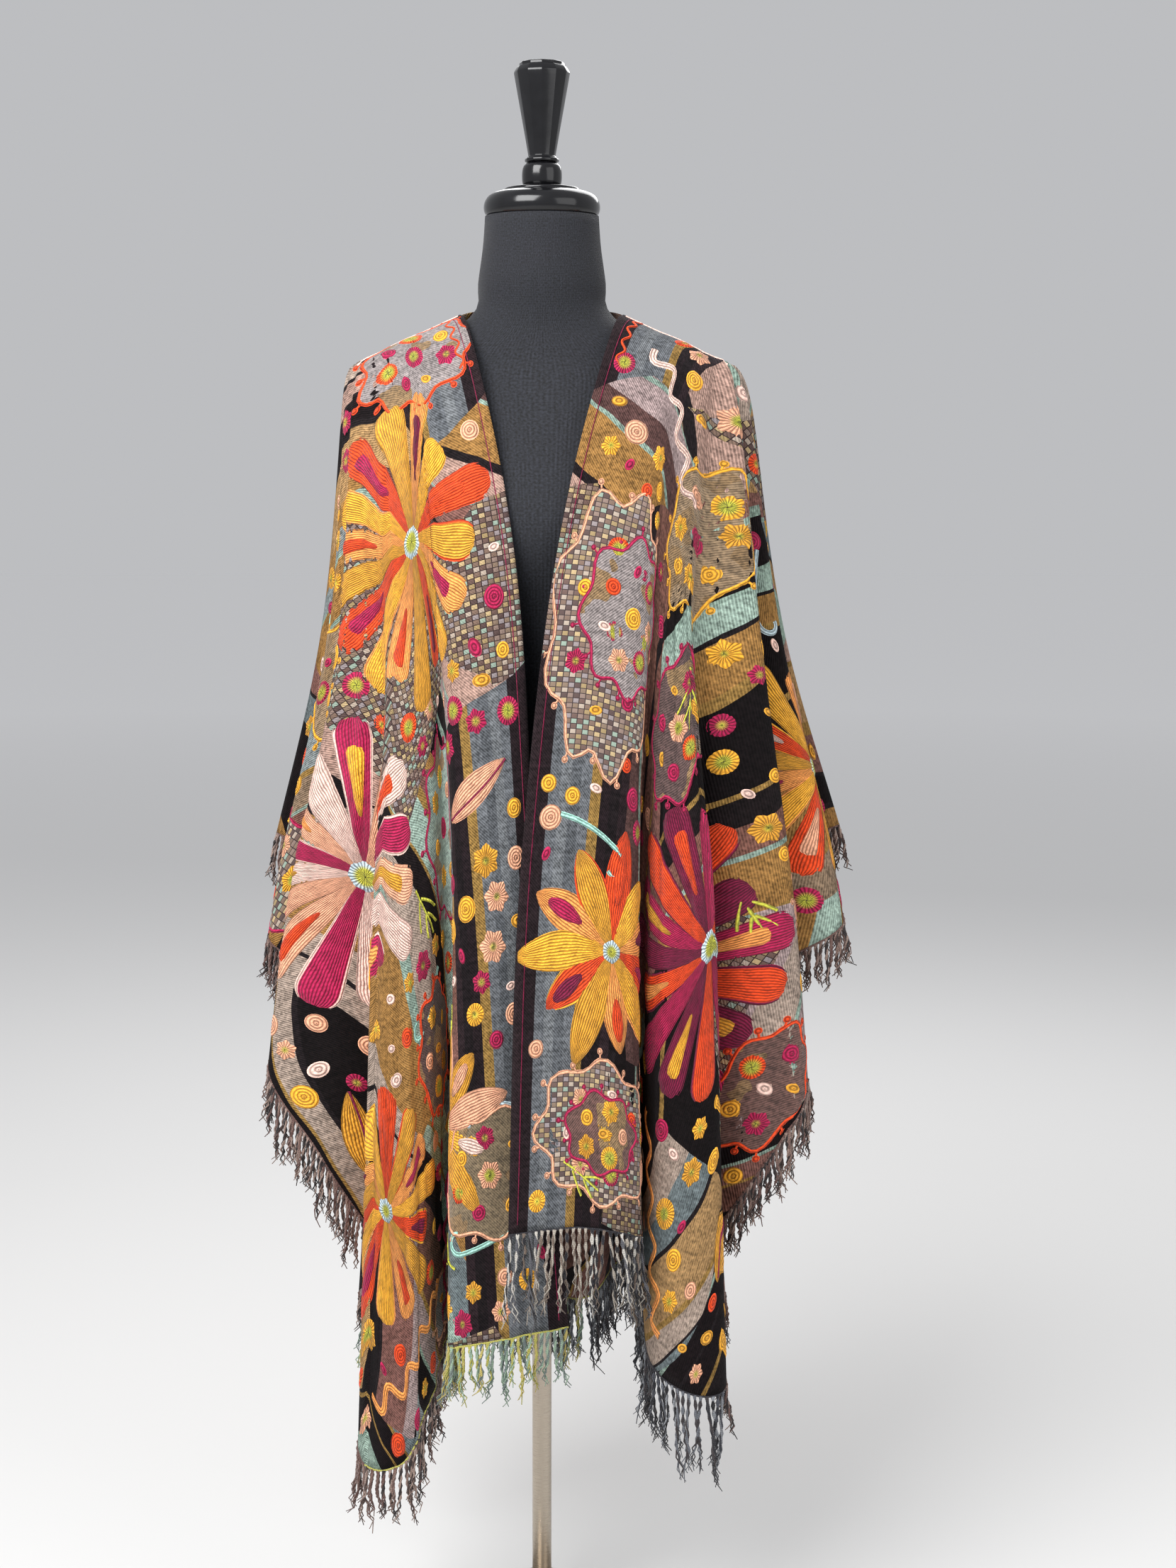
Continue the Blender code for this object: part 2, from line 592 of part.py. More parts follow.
def add_turned(name, profile, foot, y, steps, collection, material, smooth=True):
    """Solid of revolution: the profile runs down its outer side, closed on the axis."""
    points = [(radius, 0.0, height) for radius, height in reversed(profile)]
    points.append((0.0, 0.0, profile[0][1]))
    mesh = bpy.data.meshes.new(name)
    mesh.from_pydata(points, [(k, k + 1) for k in range(len(points) - 1)], [])
    item = add_object(name, mesh, collection, material)
    item.location = (0.0, y, foot)
    turn = item.modifiers.new("turned", "SCREW")
    turn.axis = "Z"
    turn.steps = turn.render_steps = steps
    turn.use_merge_vertices = True
    turn.merge_threshold = 0.00005
    turn.use_smooth_shade = smooth
    return item


def add_stand(collection, gloss, steel):
    """Cap, bead and finial above the neck, and the pole, socket and round base below."""
    cap_foot = FORM_TOP + GAP
    bead_foot = cap_foot + CAP_PROFILE[-1][1] + GAP
    finial_foot = bead_foot + BEAD_PROFILE[-1][1] + GAP
    add_turned("neck_cap", CAP_PROFILE, cap_foot, NECK_Y, TURNED_STEPS, collection, gloss)
    add_turned("finial_bead", BEAD_PROFILE, bead_foot, NECK_Y, TURNED_STEPS, collection, gloss)
    add_turned("finial", FINIAL_PROFILE, finial_foot, NECK_Y, FINIAL_FACETS, collection, gloss,
               smooth=False)
    base_profile = (
        (BASE_RADIUS - 0.002, 0.0), (BASE_RADIUS, 0.002), (BASE_RADIUS, BASE_THICKNESS - 0.004),
        (BASE_RADIUS - 0.004, BASE_THICKNESS), (SOCKET_RADIUS + 0.004, BASE_THICKNESS),
        (SOCKET_RADIUS, BASE_THICKNESS + 0.004), (SOCKET_RADIUS, SOCKET_TOP - 0.002),
        (SOCKET_RADIUS - 0.002, SOCKET_TOP), (0.0, SOCKET_TOP),
    )
    add_turned("base", base_profile, 0.0, POLE_Y, BASE_STEPS, collection, steel)
    pole_profile = ((POLE_RADIUS, 0.0), (POLE_RADIUS, FORM_BOTTOM - SOCKET_TOP - 2 * GAP),
                    (0.0, FORM_BOTTOM - SOCKET_TOP - 2 * GAP))
    add_turned("pole", pole_profile, SOCKET_TOP + GAP, POLE_Y, POLE_STEPS, collection, steel)


def main():
    clear_scene()
    ruana = new_collection("ruana_on_dress_form")
    cloth = new_material("embroidered wool", (0.32, 0.22, 0.16), 0.9)
    yarn = new_material("wool fringe", (0.25, 0.18, 0.15), 0.9)
    jersey = new_material("black jersey", (0.02, 0.02, 0.025), 0.85)
    gloss = new_material("black lacquer", (0.01, 0.01, 0.01), 0.12)
    steel = new_material("brushed steel", (0.6, 0.6, 0.58), 0.3, 1.0)
    add_ruana(ruana, cloth, yarn)
    add_form(ruana, jersey)
    add_stand(ruana, gloss, steel)


main()
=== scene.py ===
# %% [markdown]
# # An embroidered ruana on a dress form
# A ruana is a wide woven rectangle with a slit up the middle of its front. It has no sleeves: it
# lies over the shoulders and falls in deep folds. This one is wool, woven in bands of colour and
# covered with chain-stitch flowers, dots and leaves. It hangs on a black limbless dress form.
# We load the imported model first. Every piece below rides on it, in metres, in its frame.

# %% Load the frame
import math
import random

import bpy
import numpy as np
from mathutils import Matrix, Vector


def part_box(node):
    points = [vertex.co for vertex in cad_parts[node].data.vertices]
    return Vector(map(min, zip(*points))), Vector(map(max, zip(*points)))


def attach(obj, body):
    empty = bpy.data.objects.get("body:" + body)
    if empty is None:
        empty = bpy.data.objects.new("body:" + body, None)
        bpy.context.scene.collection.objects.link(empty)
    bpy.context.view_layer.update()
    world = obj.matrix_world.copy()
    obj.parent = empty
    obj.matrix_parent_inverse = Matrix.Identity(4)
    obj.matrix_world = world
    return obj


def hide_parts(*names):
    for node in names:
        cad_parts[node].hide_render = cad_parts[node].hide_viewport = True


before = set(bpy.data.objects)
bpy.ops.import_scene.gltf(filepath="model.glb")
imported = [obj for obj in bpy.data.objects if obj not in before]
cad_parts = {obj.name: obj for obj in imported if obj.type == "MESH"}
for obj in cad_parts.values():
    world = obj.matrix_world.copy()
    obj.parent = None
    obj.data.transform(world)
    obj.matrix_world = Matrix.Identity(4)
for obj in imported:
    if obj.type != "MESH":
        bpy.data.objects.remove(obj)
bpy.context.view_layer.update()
bpy.ops.object.select_all(action="DESELECT")
print("nodes:", len(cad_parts))

# %% [markdown]
# ## Camera
# The photo was taken from chest height, about two and a half metres away, looking slightly down.
# The form stands a little left of the picture's middle, which a small shift gives.

# %% Place the camera
CAMERA_PLACE = (0.0, -2.6, 1.32)
CAMERA_PITCH = 7.4
FOCAL_PIXELS = 3333
PHOTO_HEIGHT = 2212
SENSOR = 36
AXIS_OFFSET = 65


def make_camera():
    bpy.ops.object.camera_add(location=CAMERA_PLACE)
    camera = bpy.context.object
    camera.name = "camera"
    camera.rotation_euler = (math.radians(90 - CAMERA_PITCH), 0, 0)
    camera.data.sensor_width = SENSOR
    camera.data.lens = SENSOR * FOCAL_PIXELS / PHOTO_HEIGHT
    camera.data.shift_x = AXIS_OFFSET / PHOTO_HEIGHT
    bpy.context.scene.camera = camera
    return camera


print("lens:", round(make_camera().data.lens, 2))

# %% [markdown]
# ## Helpers for materials
# A material is a tree of nodes. Written out node by node, even a short sum fills a page, so a
# small class lets a node's output add, multiply and compare like a plain number. Every finish
# below, from the floor to the wool, is written with it.

# %% Node helpers


def colour_of(code):
    """Linear colour of a six-figure screen colour."""
    parts = [int(code[k:k + 2], 16) / 255 for k in (0, 2, 4)]
    return tuple(((c + 0.055) / 1.055) ** 2.4 if c > 0.04 else c / 12.92 for c in parts)


class Value:
    """An output of a node, which adds, multiplies and compares like a plain number."""

    def __init__(self, socket):
        self.socket = socket
        self.tree = socket.id_data

    def out(self, key):
        """Another output of the same node."""
        return Value(self.socket.node.outputs[key])

    def parts(self, kind="SeparateXYZ"):
        """The three numbers of a place or of a colour."""
        first = add(self.tree, kind, {0: self})
        return first, first.out(1), first.out(2)

    def calc(self, operation, other=0.0):
        return add(self.tree, "Math", {0: self, 1: other}, operation=operation)

    def vector(self, operation, other=(0.0, 0.0, 0.0), scale=1.0):
        return add(self.tree, "VectorMath", {0: self, 1: other, 3: scale}, operation=operation)

    def between(self, low, high):
        return self.calc("MAXIMUM", low).calc("MINIMUM", high)

    def __add__(self, other):
        return self.calc("ADD", other)

    def __sub__(self, other):
        return self.calc("SUBTRACT", other)

    def __mul__(self, other):
        return self.calc("MULTIPLY", other)

    def __truediv__(self, other):
        return self.calc("DIVIDE", other)

    def __lt__(self, other):
        return self.calc("LESS_THAN", other)

    def __gt__(self, other):
        return self.calc("GREATER_THAN", other)

    def __abs__(self):
        return self.calc("ABSOLUTE")


def add(tree, kind, inputs=None, **settings):
    """A new node with its inputs set or joined, seen through its first output."""
    node = tree.nodes.new("ShaderNode" + kind)
    for key, value in settings.items():
        setattr(node, key, value)
    for socket, value in (inputs or {}).items():
        if isinstance(value, Value):
            tree.links.new(value.socket, node.inputs[socket])
        else:
            node.inputs[socket].default_value = value
    return Value(node.outputs[0])


def noise(place, scale=1.0, detail=2.0):
    return add(place.tree, "TexNoise", {"Vector": place, "Scale": scale, "Detail": detail})


def cells(place, scale):
    """Colour that is the same all over each cell of a broad, uneven mosaic."""
    return add(place.tree, "TexVoronoi", {"Vector": place, "Scale": scale}).out("Color")


def chances(place):
    """A number and a colour picked for each whole-numbered place."""
    pick = add(place.tree, "TexWhiteNoise", {"Vector": place}, noise_dimensions="2D")
    return pick.out("Value"), pick.out("Color")


def stretched(place, scale):
    return add(place.tree, "Mapping", {0: place, 3: scale})


def blend(share, first, second):
    ends = [(*end, 1) if isinstance(end, tuple) else end for end in (first, second)]
    mixed = add(share.tree, "Mix", {0: share, 6: ends[0], 7: ends[1]}, data_type="RGBA")
    return mixed.out(2)


def steps_ramp(value, codes):
    """One colour of the list for each equal share of the value's range."""
    made = add(value.tree, "ValToRGB", {0: value})
    ramp = made.socket.node.color_ramp
    ramp.interpolation = "CONSTANT"
    while len(ramp.elements) < len(codes):
        ramp.elements.new(0.5)
    for k, code in enumerate(codes):
        ramp.elements[k].position = k / len(codes)
        ramp.elements[k].color = (*colour_of(code), 1)
    return made


# %% Groups and materials


def new_group(name, inputs):
    """An empty group: its tree, and what comes in by name."""
    tree = bpy.data.node_groups.new(name, "ShaderNodeTree")
    for socket, kind, value in inputs:
        made = tree.interface.new_socket(socket, in_out="INPUT", socket_type="NodeSocket" + kind)
        if value is not None:
            made.default_value = value
    source = tree.nodes.new("NodeGroupInput")
    return tree, {output.name: Value(output) for output in source.outputs}


def close_group(tree, results):
    """The group's outputs: a name, a kind and a value each."""
    for name, kind, _ in results:
        tree.interface.new_socket(name, in_out="OUTPUT", socket_type="NodeSocket" + kind)
    node = tree.nodes.new("NodeGroupOutput")
    for name, _, value in results:
        tree.links.new(value.socket, node.inputs[name])
    return tree


def new_material(name, roughness, sheen=0.0, metallic=0.0, gleam=0.5):
    material = bpy.data.materials.new(name)
    material.use_nodes = True
    shader = material.node_tree.nodes["Principled BSDF"]
    shader.inputs["Roughness"].default_value = roughness
    shader.inputs["Specular IOR Level"].default_value = gleam
    shader.inputs["Sheen Weight"].default_value = sheen
    shader.inputs["Sheen Roughness"].default_value = 0.4
    shader.inputs["Metallic"].default_value = metallic
    return material, material.node_tree, shader


def surface(shader, colour, height=None, distance=0.0, strength=1.0, roughness=None):
    """Join colour, relief and roughness to a material's shader."""
    tree = colour.tree
    ends = {"Base Color": colour}
    if height:
        relief = {"Height": height, "Distance": distance, "Strength": strength}
        ends["Normal"] = add(tree, "Bump", relief)
    if roughness:
        ends["Roughness"] = roughness
    for name, value in ends.items():
        tree.links.new(value.socket, shader.inputs[name])


# %% [markdown]
# ## Floor and light
# A pale floor reaches far on every side, and a pale world stands behind it. The floor is painted
# lighter with distance, as painted light where the lamps reach it less, so that it meets the sky
# without a dark line. Three broad soft lights and that world stand in for open shade: colour reads
# clearly and the folds keep gentle shadows.

# %% Floor
FLOOR_SIZE = 60.0
# the floor's own pale paint near the form; far off it turns white, as painted light where the lamps
# reach less
NEAR_PAINT = (0.74, 0.735, 0.725)
FAR_PAINTED_LIGHT = (1.0, 1.0, 1.0)
# metres from the form over which the painted light grows
PAINTED_LIGHT_FROM = 2.0
PAINTED_LIGHT_TO = 11.0


def floor_material():
    """Pale paint near the form, painted lighter with distance as painted light where the lamps
    reach less, so the floor meets the sky without a dark line.
    """
    material, tree, shader = new_material("pale floor", 0.9, gleam=0.1)
    place = add(tree, "TexCoord").out("Object")
    inputs = {"Value": place.vector("LENGTH").out("Value"),
              "From Min": PAINTED_LIGHT_FROM, "From Max": PAINTED_LIGHT_TO}
    share = add(tree, "MapRange", inputs).out("Result")
    surface(shader, blend(share, NEAR_PAINT, FAR_PAINTED_LIGHT))
    return material


def make_floor():
    bpy.ops.mesh.primitive_plane_add(size=FLOOR_SIZE, location=(0, 0, 0))
    floor = bpy.context.object
    floor.name = "studio_floor"
    floor.data.materials.append(floor_material())
    floor.select_set(False)


make_floor()

# %% Lights
# name, place, size, watts
LIGHTS = (
    ("key", (-1.2, -1.8, 2.9), 1.8, 104),
    ("fill", (2.6, -2.2, 2.2), 2.6, 28),
    ("rim", (0.6, 2.4, 3.2), 2.2, 50),
)
LIGHT_AIM = Vector((0, 0, 1.2))
SKY = (0.96, 0.97, 1.0, 1)
SKY_STRENGTH = 0.53


def make_lights():
    for name, place, size, power in LIGHTS:
        bpy.ops.object.light_add(type="AREA", location=place)
        light = bpy.context.object
        light.name = "light_" + name
        light.data.size = size
        light.data.energy = power
        light.rotation_euler = (LIGHT_AIM - Vector(place)).to_track_quat("-Z", "Y").to_euler()
    world = bpy.data.worlds.new("open shade")
    bpy.context.scene.world = world
    world.use_nodes = True
    world.node_tree.nodes["Background"].inputs["Color"].default_value = SKY
    world.node_tree.nodes["Background"].inputs["Strength"].default_value = SKY_STRENGTH
    bpy.context.scene.view_settings.view_transform = "Standard"


make_lights()

# %% [markdown]
# ## How the cloth falls
# Each thread of the ruana starts on the shoulder line and runs down at its true length. The
# model's walls are built from a few of these threads. Here the same threads are drawn again, many
# more of them, so the folds are round. The tables say where chosen threads stand, in
# millimetres: place along the lower edge, then x and y at shoulder, chest, waist and hem level,
# then the hem's height.

# %% Sizes of the ruana
LIFT = 0.070
GAP = 0.0003
HALF_WIDTH = 0.69
RIDGE_LENGTH = 0.14
SIDE_REACH = 1.015
ACROSS = HALF_WIDTH + SIDE_REACH
CLEARANCE = 0.0005
FILL = 0.0014
DEEPEST = 0.3
NECK_POINT = (0.088, 0.004, 1.4232)
SHOULDER_TIP = (0.203, 0.020, 1.372)
NAPE = (0.0, 0.071, 1.436)
NECK_SHARE = 0.45
SPREAD = 0.25
EVEN_SHARE = 0.25
LEVELS = (0.0, 0.30, 0.62, 1.05)
FULLNESS = (0.0, 0.06, 0.28, 0.45)
DRAPE_STEPS = 170
LONGEST_THREAD = 1.45
SETTLING = 1.04
LEAST_REACH = 0.004
LEAST_DROP = 0.15
ROW_CROWDING = 1.25

# %% Where the folds stand
RIGHT_FRONT_FOLDS = (
    (0, 87, -58, 30, -138, 8, -158, -22, -158, 345),
    (80, 108, -60, 64, -141, 46, -166, 36, -172, 338),
    (160, 126, -58, 96, -136, 84, -164, 90, -172, 328),
    (330, 148, -56, 114, -127, 98, -122, 98, -60, 300),
    (490, 163, -54, 126, -124, 122, -142, 124, -138, 250),
    (610, 175, -50, 142, -117, 150, -150, 154, -160, 191),
    (730, 185, -45, 160, -104, 176, -136, 192, -142, 202),
    (900, 194, -37, 170, -82, 160, -78, 160, -50, 360),
    (1030, 199, -30, 190, -62, 218, -70, 254, -72, 505),
    (1140, 203, -20, 216, -40, 278, -46, 330, -38, 605),
    (1290, 207, -8, 206, -12, 184, -16, 168, -12, 675),
    (1440, 210, 4, 234, 10, 302, 6, 350, 8, 740),
    (1570, 212, 12, 224, 30, 218, 32, 234, 36, 800),
    (1705, 213, 22, 246, 50, 320, 66, 400, 74, 848),
)
LEFT_FRONT_FOLDS = (
    (0, 87, -58, 18, -142, -20, -174, -36, -202, 461),
    (100, 111, -60, 60, -144, 40, -180, 36, -206, 470),
    (210, 134, -58, 102, -137, 92, -172, 100, -186, 454),
    (380, 152, -56, 120, -127, 102, -118, 100, -55, 400),
    (530, 166, -53, 132, -123, 124, -148, 120, -148, 300),
    (710, 182, -46, 154, -110, 178, -150, 194, -154, 279),
    (870, 192, -38, 164, -86, 158, -80, 158, -52, 370),
    (990, 200, -31, 194, -70, 214, -88, 236, -90, 485),
    (1110, 206, -21, 232, -52, 274, -64, 310, -60, 590),
    (1270, 212, -8, 214, -20, 192, -28, 174, -26, 675),
    (1430, 217, 4, 260, 0, 334, -6, 376, -8, 762),
    (1560, 220, 13, 244, 26, 238, 24, 250, 26, 812),
    (1705, 222, 22, 268, 48, 358, 62, 424, 70, 858),
)
BACK_FOLDS = (
    (0, 0, 76, 0, 134, 0, 172, 0, 188, 262),
    (170, 64, 66, 52, 125, 48, 132, 50, 86, 295),
    (340, 110, 64, 96, 128, 98, 172, 104, 190, 300),
    (510, 150, 62, 128, 115, 130, 124, 132, 84, 295),
    (690, 174, 60, 160, 118, 186, 170, 212, 186, 255),
    (860, 190, 56, 174, 106, 164, 112, 164, 94, 360),
    (1020, 203, 51, 212, 100, 262, 146, 304, 162, 520),
    (1200, 208, 45, 208, 80, 206, 78, 214, 66, 620),
    (1390, 213, 37, 236, 80, 300, 112, 344, 124, 740),
    (1560, 216, 29, 226, 62, 222, 66, 238, 72, 805),
)
# height, half width, half depth, centre y and squareness of the dress form
FORM_SECTIONS = (
    (0.735, 0.140, 0.098, 0.006, 2.2),
    (0.800, 0.152, 0.108, 0.006, 2.2),
    (0.900, 0.146, 0.104, 0.004, 2.2),
    (1.020, 0.122, 0.088, 0.002, 2.1),
    (1.110, 0.132, 0.100, -0.004, 2.1),
    (1.200, 0.146, 0.119, -0.010, 2.2),
    (1.290, 0.156, 0.100, 0.002, 2.3),
    (1.335, 0.170, 0.080, 0.004, 2.3),
    (1.358, 0.181, 0.066, 0.004, 2.2),
    (1.368, 0.182, 0.060, 0.004, 2.1),
    (1.385, 0.157, 0.056, 0.004, 2.0),
    (1.410, 0.092, 0.053, 0.004, 2.0),
    (1.430, 0.070, 0.056, 0.005, 2.0),
    (1.455, 0.068, 0.061, 0.006, 2.0),
    (1.500, 0.062, 0.059, 0.006, 2.0),
    (1.5285, 0.060, 0.058, 0.006, 2.0),
)

# %% Curves through the tables


def smooth_curve(places, values, at, fullness=None):
    """Cubic curve through values at places. Fullness rounds the folds."""
    places = np.asarray(places, float)
    values = np.asarray(values, float)
    slopes = np.gradient(values, places, axis=0)
    if fullness is not None:
        speed = np.maximum(np.linalg.norm(slopes, axis=-1, keepdims=True), 1e-6)
        slopes = slopes * np.maximum(1, np.asarray(fullness)[:, None] / speed)
    i = np.clip(np.searchsorted(places, at, side="right") - 1, 0, len(places) - 2)
    shape = (len(at),) + (1,) * (values.ndim - 1)
    step = (places[i + 1] - places[i]).reshape(shape)
    t = (at - places[i]).reshape(shape) / step
    rise = t * t * (3 - 2 * t)
    leave = t * (1 - t) ** 2 * step
    arrive = t * t * (t - 1) * step
    return (values[i] * (1 - rise) + values[i + 1] * rise
            + leave * slopes[i] + arrive * slopes[i + 1])


def form_section(heights):
    table = np.array(FORM_SECTIONS)
    inside = np.clip(heights, table[0, 0], table[-1, 0])
    return smooth_curve(table[:, 0], table[:, 1:], inside).T


def unit(vectors):
    return vectors / np.maximum(np.linalg.norm(vectors, axis=-1, keepdims=True), 1e-9)


def read_along(table, marks, at):
    """Points between a table's rows, each row standing at its mark."""
    return np.stack([np.interp(at, marks, table[:, axis]) for axis in range(3)], axis=-1)


def run_along(points):
    """Distance from the first point to each point of a line."""
    return np.concatenate([[0], np.cumsum(np.linalg.norm(np.diff(points, axis=0), axis=1))])


# %% Threads from the shoulder down


def ridge_share(edge):
    """Share of the shoulder line, from the neck, at which a thread starts."""
    crowded = (1 - np.exp(-edge / SPREAD)) / (1 - math.exp(-ACROSS / SPREAD))
    return crowded * (1 - EVEN_SHARE) + EVEN_SHARE * edge / ACROSS


def thread_starts(edge, back):
    share = ridge_share(edge)
    neck, tip, nape = map(np.array, (NECK_POINT, SHOULDER_TIP, NAPE))
    if not back:
        return neck + (tip - neck) * share[:, None]
    turn = np.clip(share / NECK_SHARE, 0, 1) * math.pi / 2
    round_nape = np.column_stack([
        neck[0] * np.sin(turn),
        neck[1] + (nape[1] - neck[1]) * np.cos(turn),
        neck[2] + (nape[2] - neck[2]) * np.cos(turn),
    ])
    along = np.clip((share - NECK_SHARE) / (1 - NECK_SHARE), 0, 1)[:, None]
    return np.where((share < NECK_SHARE)[:, None], round_nape, neck + (tip - neck) * along)


def level_places(rings, distance):
    if distance >= LEVELS[-1]:
        lean = (rings[:, 3] - rings[:, 2]) / (LEVELS[3] - LEVELS[2])
        return rings[:, 3] + lean * (distance - LEVELS[3])
    return smooth_curve(LEVELS, np.moveaxis(rings, 1, 0), np.array([distance]))[0]


def keep_off_form(places, heights):
    width, depth, middle, square = form_section(heights)
    width = width + CLEARANCE
    depth = depth + CLEARANCE
    aside = np.abs(places[:, 0] / width) ** square
    off = (aside + np.abs((places[:, 1] - middle) / depth) ** square) ** (1 / square)
    inside = (off < 1) & (heights > FORM_SECTIONS[0][0])
    grow = np.where(inside, 1 / np.maximum(off, DEEPEST), 1)
    return np.column_stack([places[:, 0] * grow, middle + (places[:, 1] - middle) * grow])


def half_round(front_folds):
    """Fold rows from the front edge round the side to the back's centre, and one past it."""
    front = np.array(front_folds) / 1000
    back = np.array(BACK_FOLDS[::-1]) / 1000
    back[:, 0] = 2 * ACROSS - back[:, 0]
    rows = np.vstack([front, back])
    past = rows[-2].copy()
    past[0] = 2 * rows[-1][0] - past[0]
    past[1:9:2] *= -1
    return np.vstack([rows, past])


def thread_paths(front_folds, edge, back):
    """Each thread's places, a step apart, and the height at which it ends."""
    rows = half_round(front_folds)
    round_half = 2 * ACROSS - edge if back else edge
    plan = rows[:, 1:9].reshape(len(rows), 4, 2)
    rings = smooth_curve(rows[:, 0], plan, round_half, FULLNESS)
    ends = smooth_curve(rows[:, 0], rows[:, 9], round_half)
    start = thread_starts(edge, back)
    step = LONGEST_THREAD / DRAPE_STEPS
    place = start[:, :2].copy()
    height = start[:, 2].copy()
    leaving = np.linalg.norm(rings[:, 0] - place, axis=1)
    leaving = np.maximum(leaving, LEAST_REACH) * SETTLING
    paths = [np.column_stack([place, height])]
    for k in range(1, DRAPE_STEPS + 1):
        settled = (1 - np.exp(-k * step / leaving))[:, None]
        drift = level_places(rings, k * step) - rings[:, 0]
        target = start[:, :2] + settled * (rings[:, 0] - start[:, :2]) + drift
        target = keep_off_form(target, height - step)
        across = np.linalg.norm(target - place, axis=1)
        down = np.sqrt(np.maximum(step ** 2 - across ** 2, (LEAST_DROP * step) ** 2))
        height = height - down
        place = target
        paths.append(np.column_stack([place, height]))
    return np.array(paths), ends


# %% [markdown]
# ## Small creases
# Wool that is hung keeps small wrinkles between the deep folds. They run mostly down the
# threads and grow towards the hem. A sum of slow waves, moved out along the surface, gives them.

# %% Creases on a panel
CREASE_HEIGHT = 0.0020
# share of the height, waves for each metre across, sway down the thread, phase
CREASES = (
    (0.60, 13.0, 1.6, 0.3),
    (0.45, 21.0, 2.3, 1.7),
    (0.30, 34.0, 1.1, 4.1),
)


def crease_height(edge, share, seed):
    height = np.zeros(np.broadcast(edge, share).shape)
    for size, waves, sway, phase in CREASES:
        turn = 2 * math.pi * waves * edge + sway * np.sin(5 * share + phase + seed) + phase * seed
        height += size * np.sin(turn) * np.sin(3.1 * share + 2.3 * edge + seed) ** 2
    fade = np.clip(share * 3, 0, 1) * (0.4 + 0.6 * share)
    return CREASE_HEIGHT * height * fade


def square_to(vectors, axis):
    return vectors - axis * np.sum(vectors * axis, axis=-1, keepdims=True)


def grid_normals(grid, outward):
    falls = unit(np.diff(grid, axis=0))
    down = unit(np.concatenate([falls[:1], falls[:-1] + falls[1:], falls[-1:]]))
    steps = np.diff(grid, axis=1)
    arriving = np.concatenate([steps[:, :1], steps], axis=1)
    leaving = np.concatenate([steps, steps[:, -1:]], axis=1)
    along = unit(square_to(arriving, down)) + unit(square_to(leaving, down))
    return unit(np.cross(down, along)) * outward


# %% [markdown]
# ## A panel as a surface
# A panel keeps a grid of points with their outward directions. It can be read anywhere by its
# flat place, in metres on the cloth before it was hung, so each flower can be drawn flat, like
# an embroiderer's pattern, and then laid on the folds.

# %% Panels
FRONT_COLUMNS = 200
BACK_COLUMNS = 151
PANEL_ROWS = 112
RIGHT_LENGTH = 1.144
LEFT_LENGTH = 1.036
BACK_LENGTH = 1.185
HALVINGS = 36


def half_grid(folds, columns, back, side, seed):
    edge = np.linspace(0, ACROSS, columns)
    paths, ends = thread_paths(folds, edge, back)
    share = np.linspace(0, 1, PANEL_ROWS) ** ROW_CROWDING
    grid = np.zeros((PANEL_ROWS, columns, 3))
    marks = np.arange(len(paths))
    for j, end in enumerate(ends):
        last = np.interp(-end, -paths[:, j, 2], marks)
        grid[:, j] = read_along(paths[:, j], marks, share * last)
    grid[..., 2] += LIFT
    grid[0, :, 1] += GAP if back else -GAP
    normals = grid_normals(grid, -1 if back else 1)
    fade = np.clip((ACROSS - edge) * 6, 0, 1)
    grid += normals * (crease_height(edge, share[:, None], seed) * fade)[..., None]
    return grid * np.array([side, 1, 1])


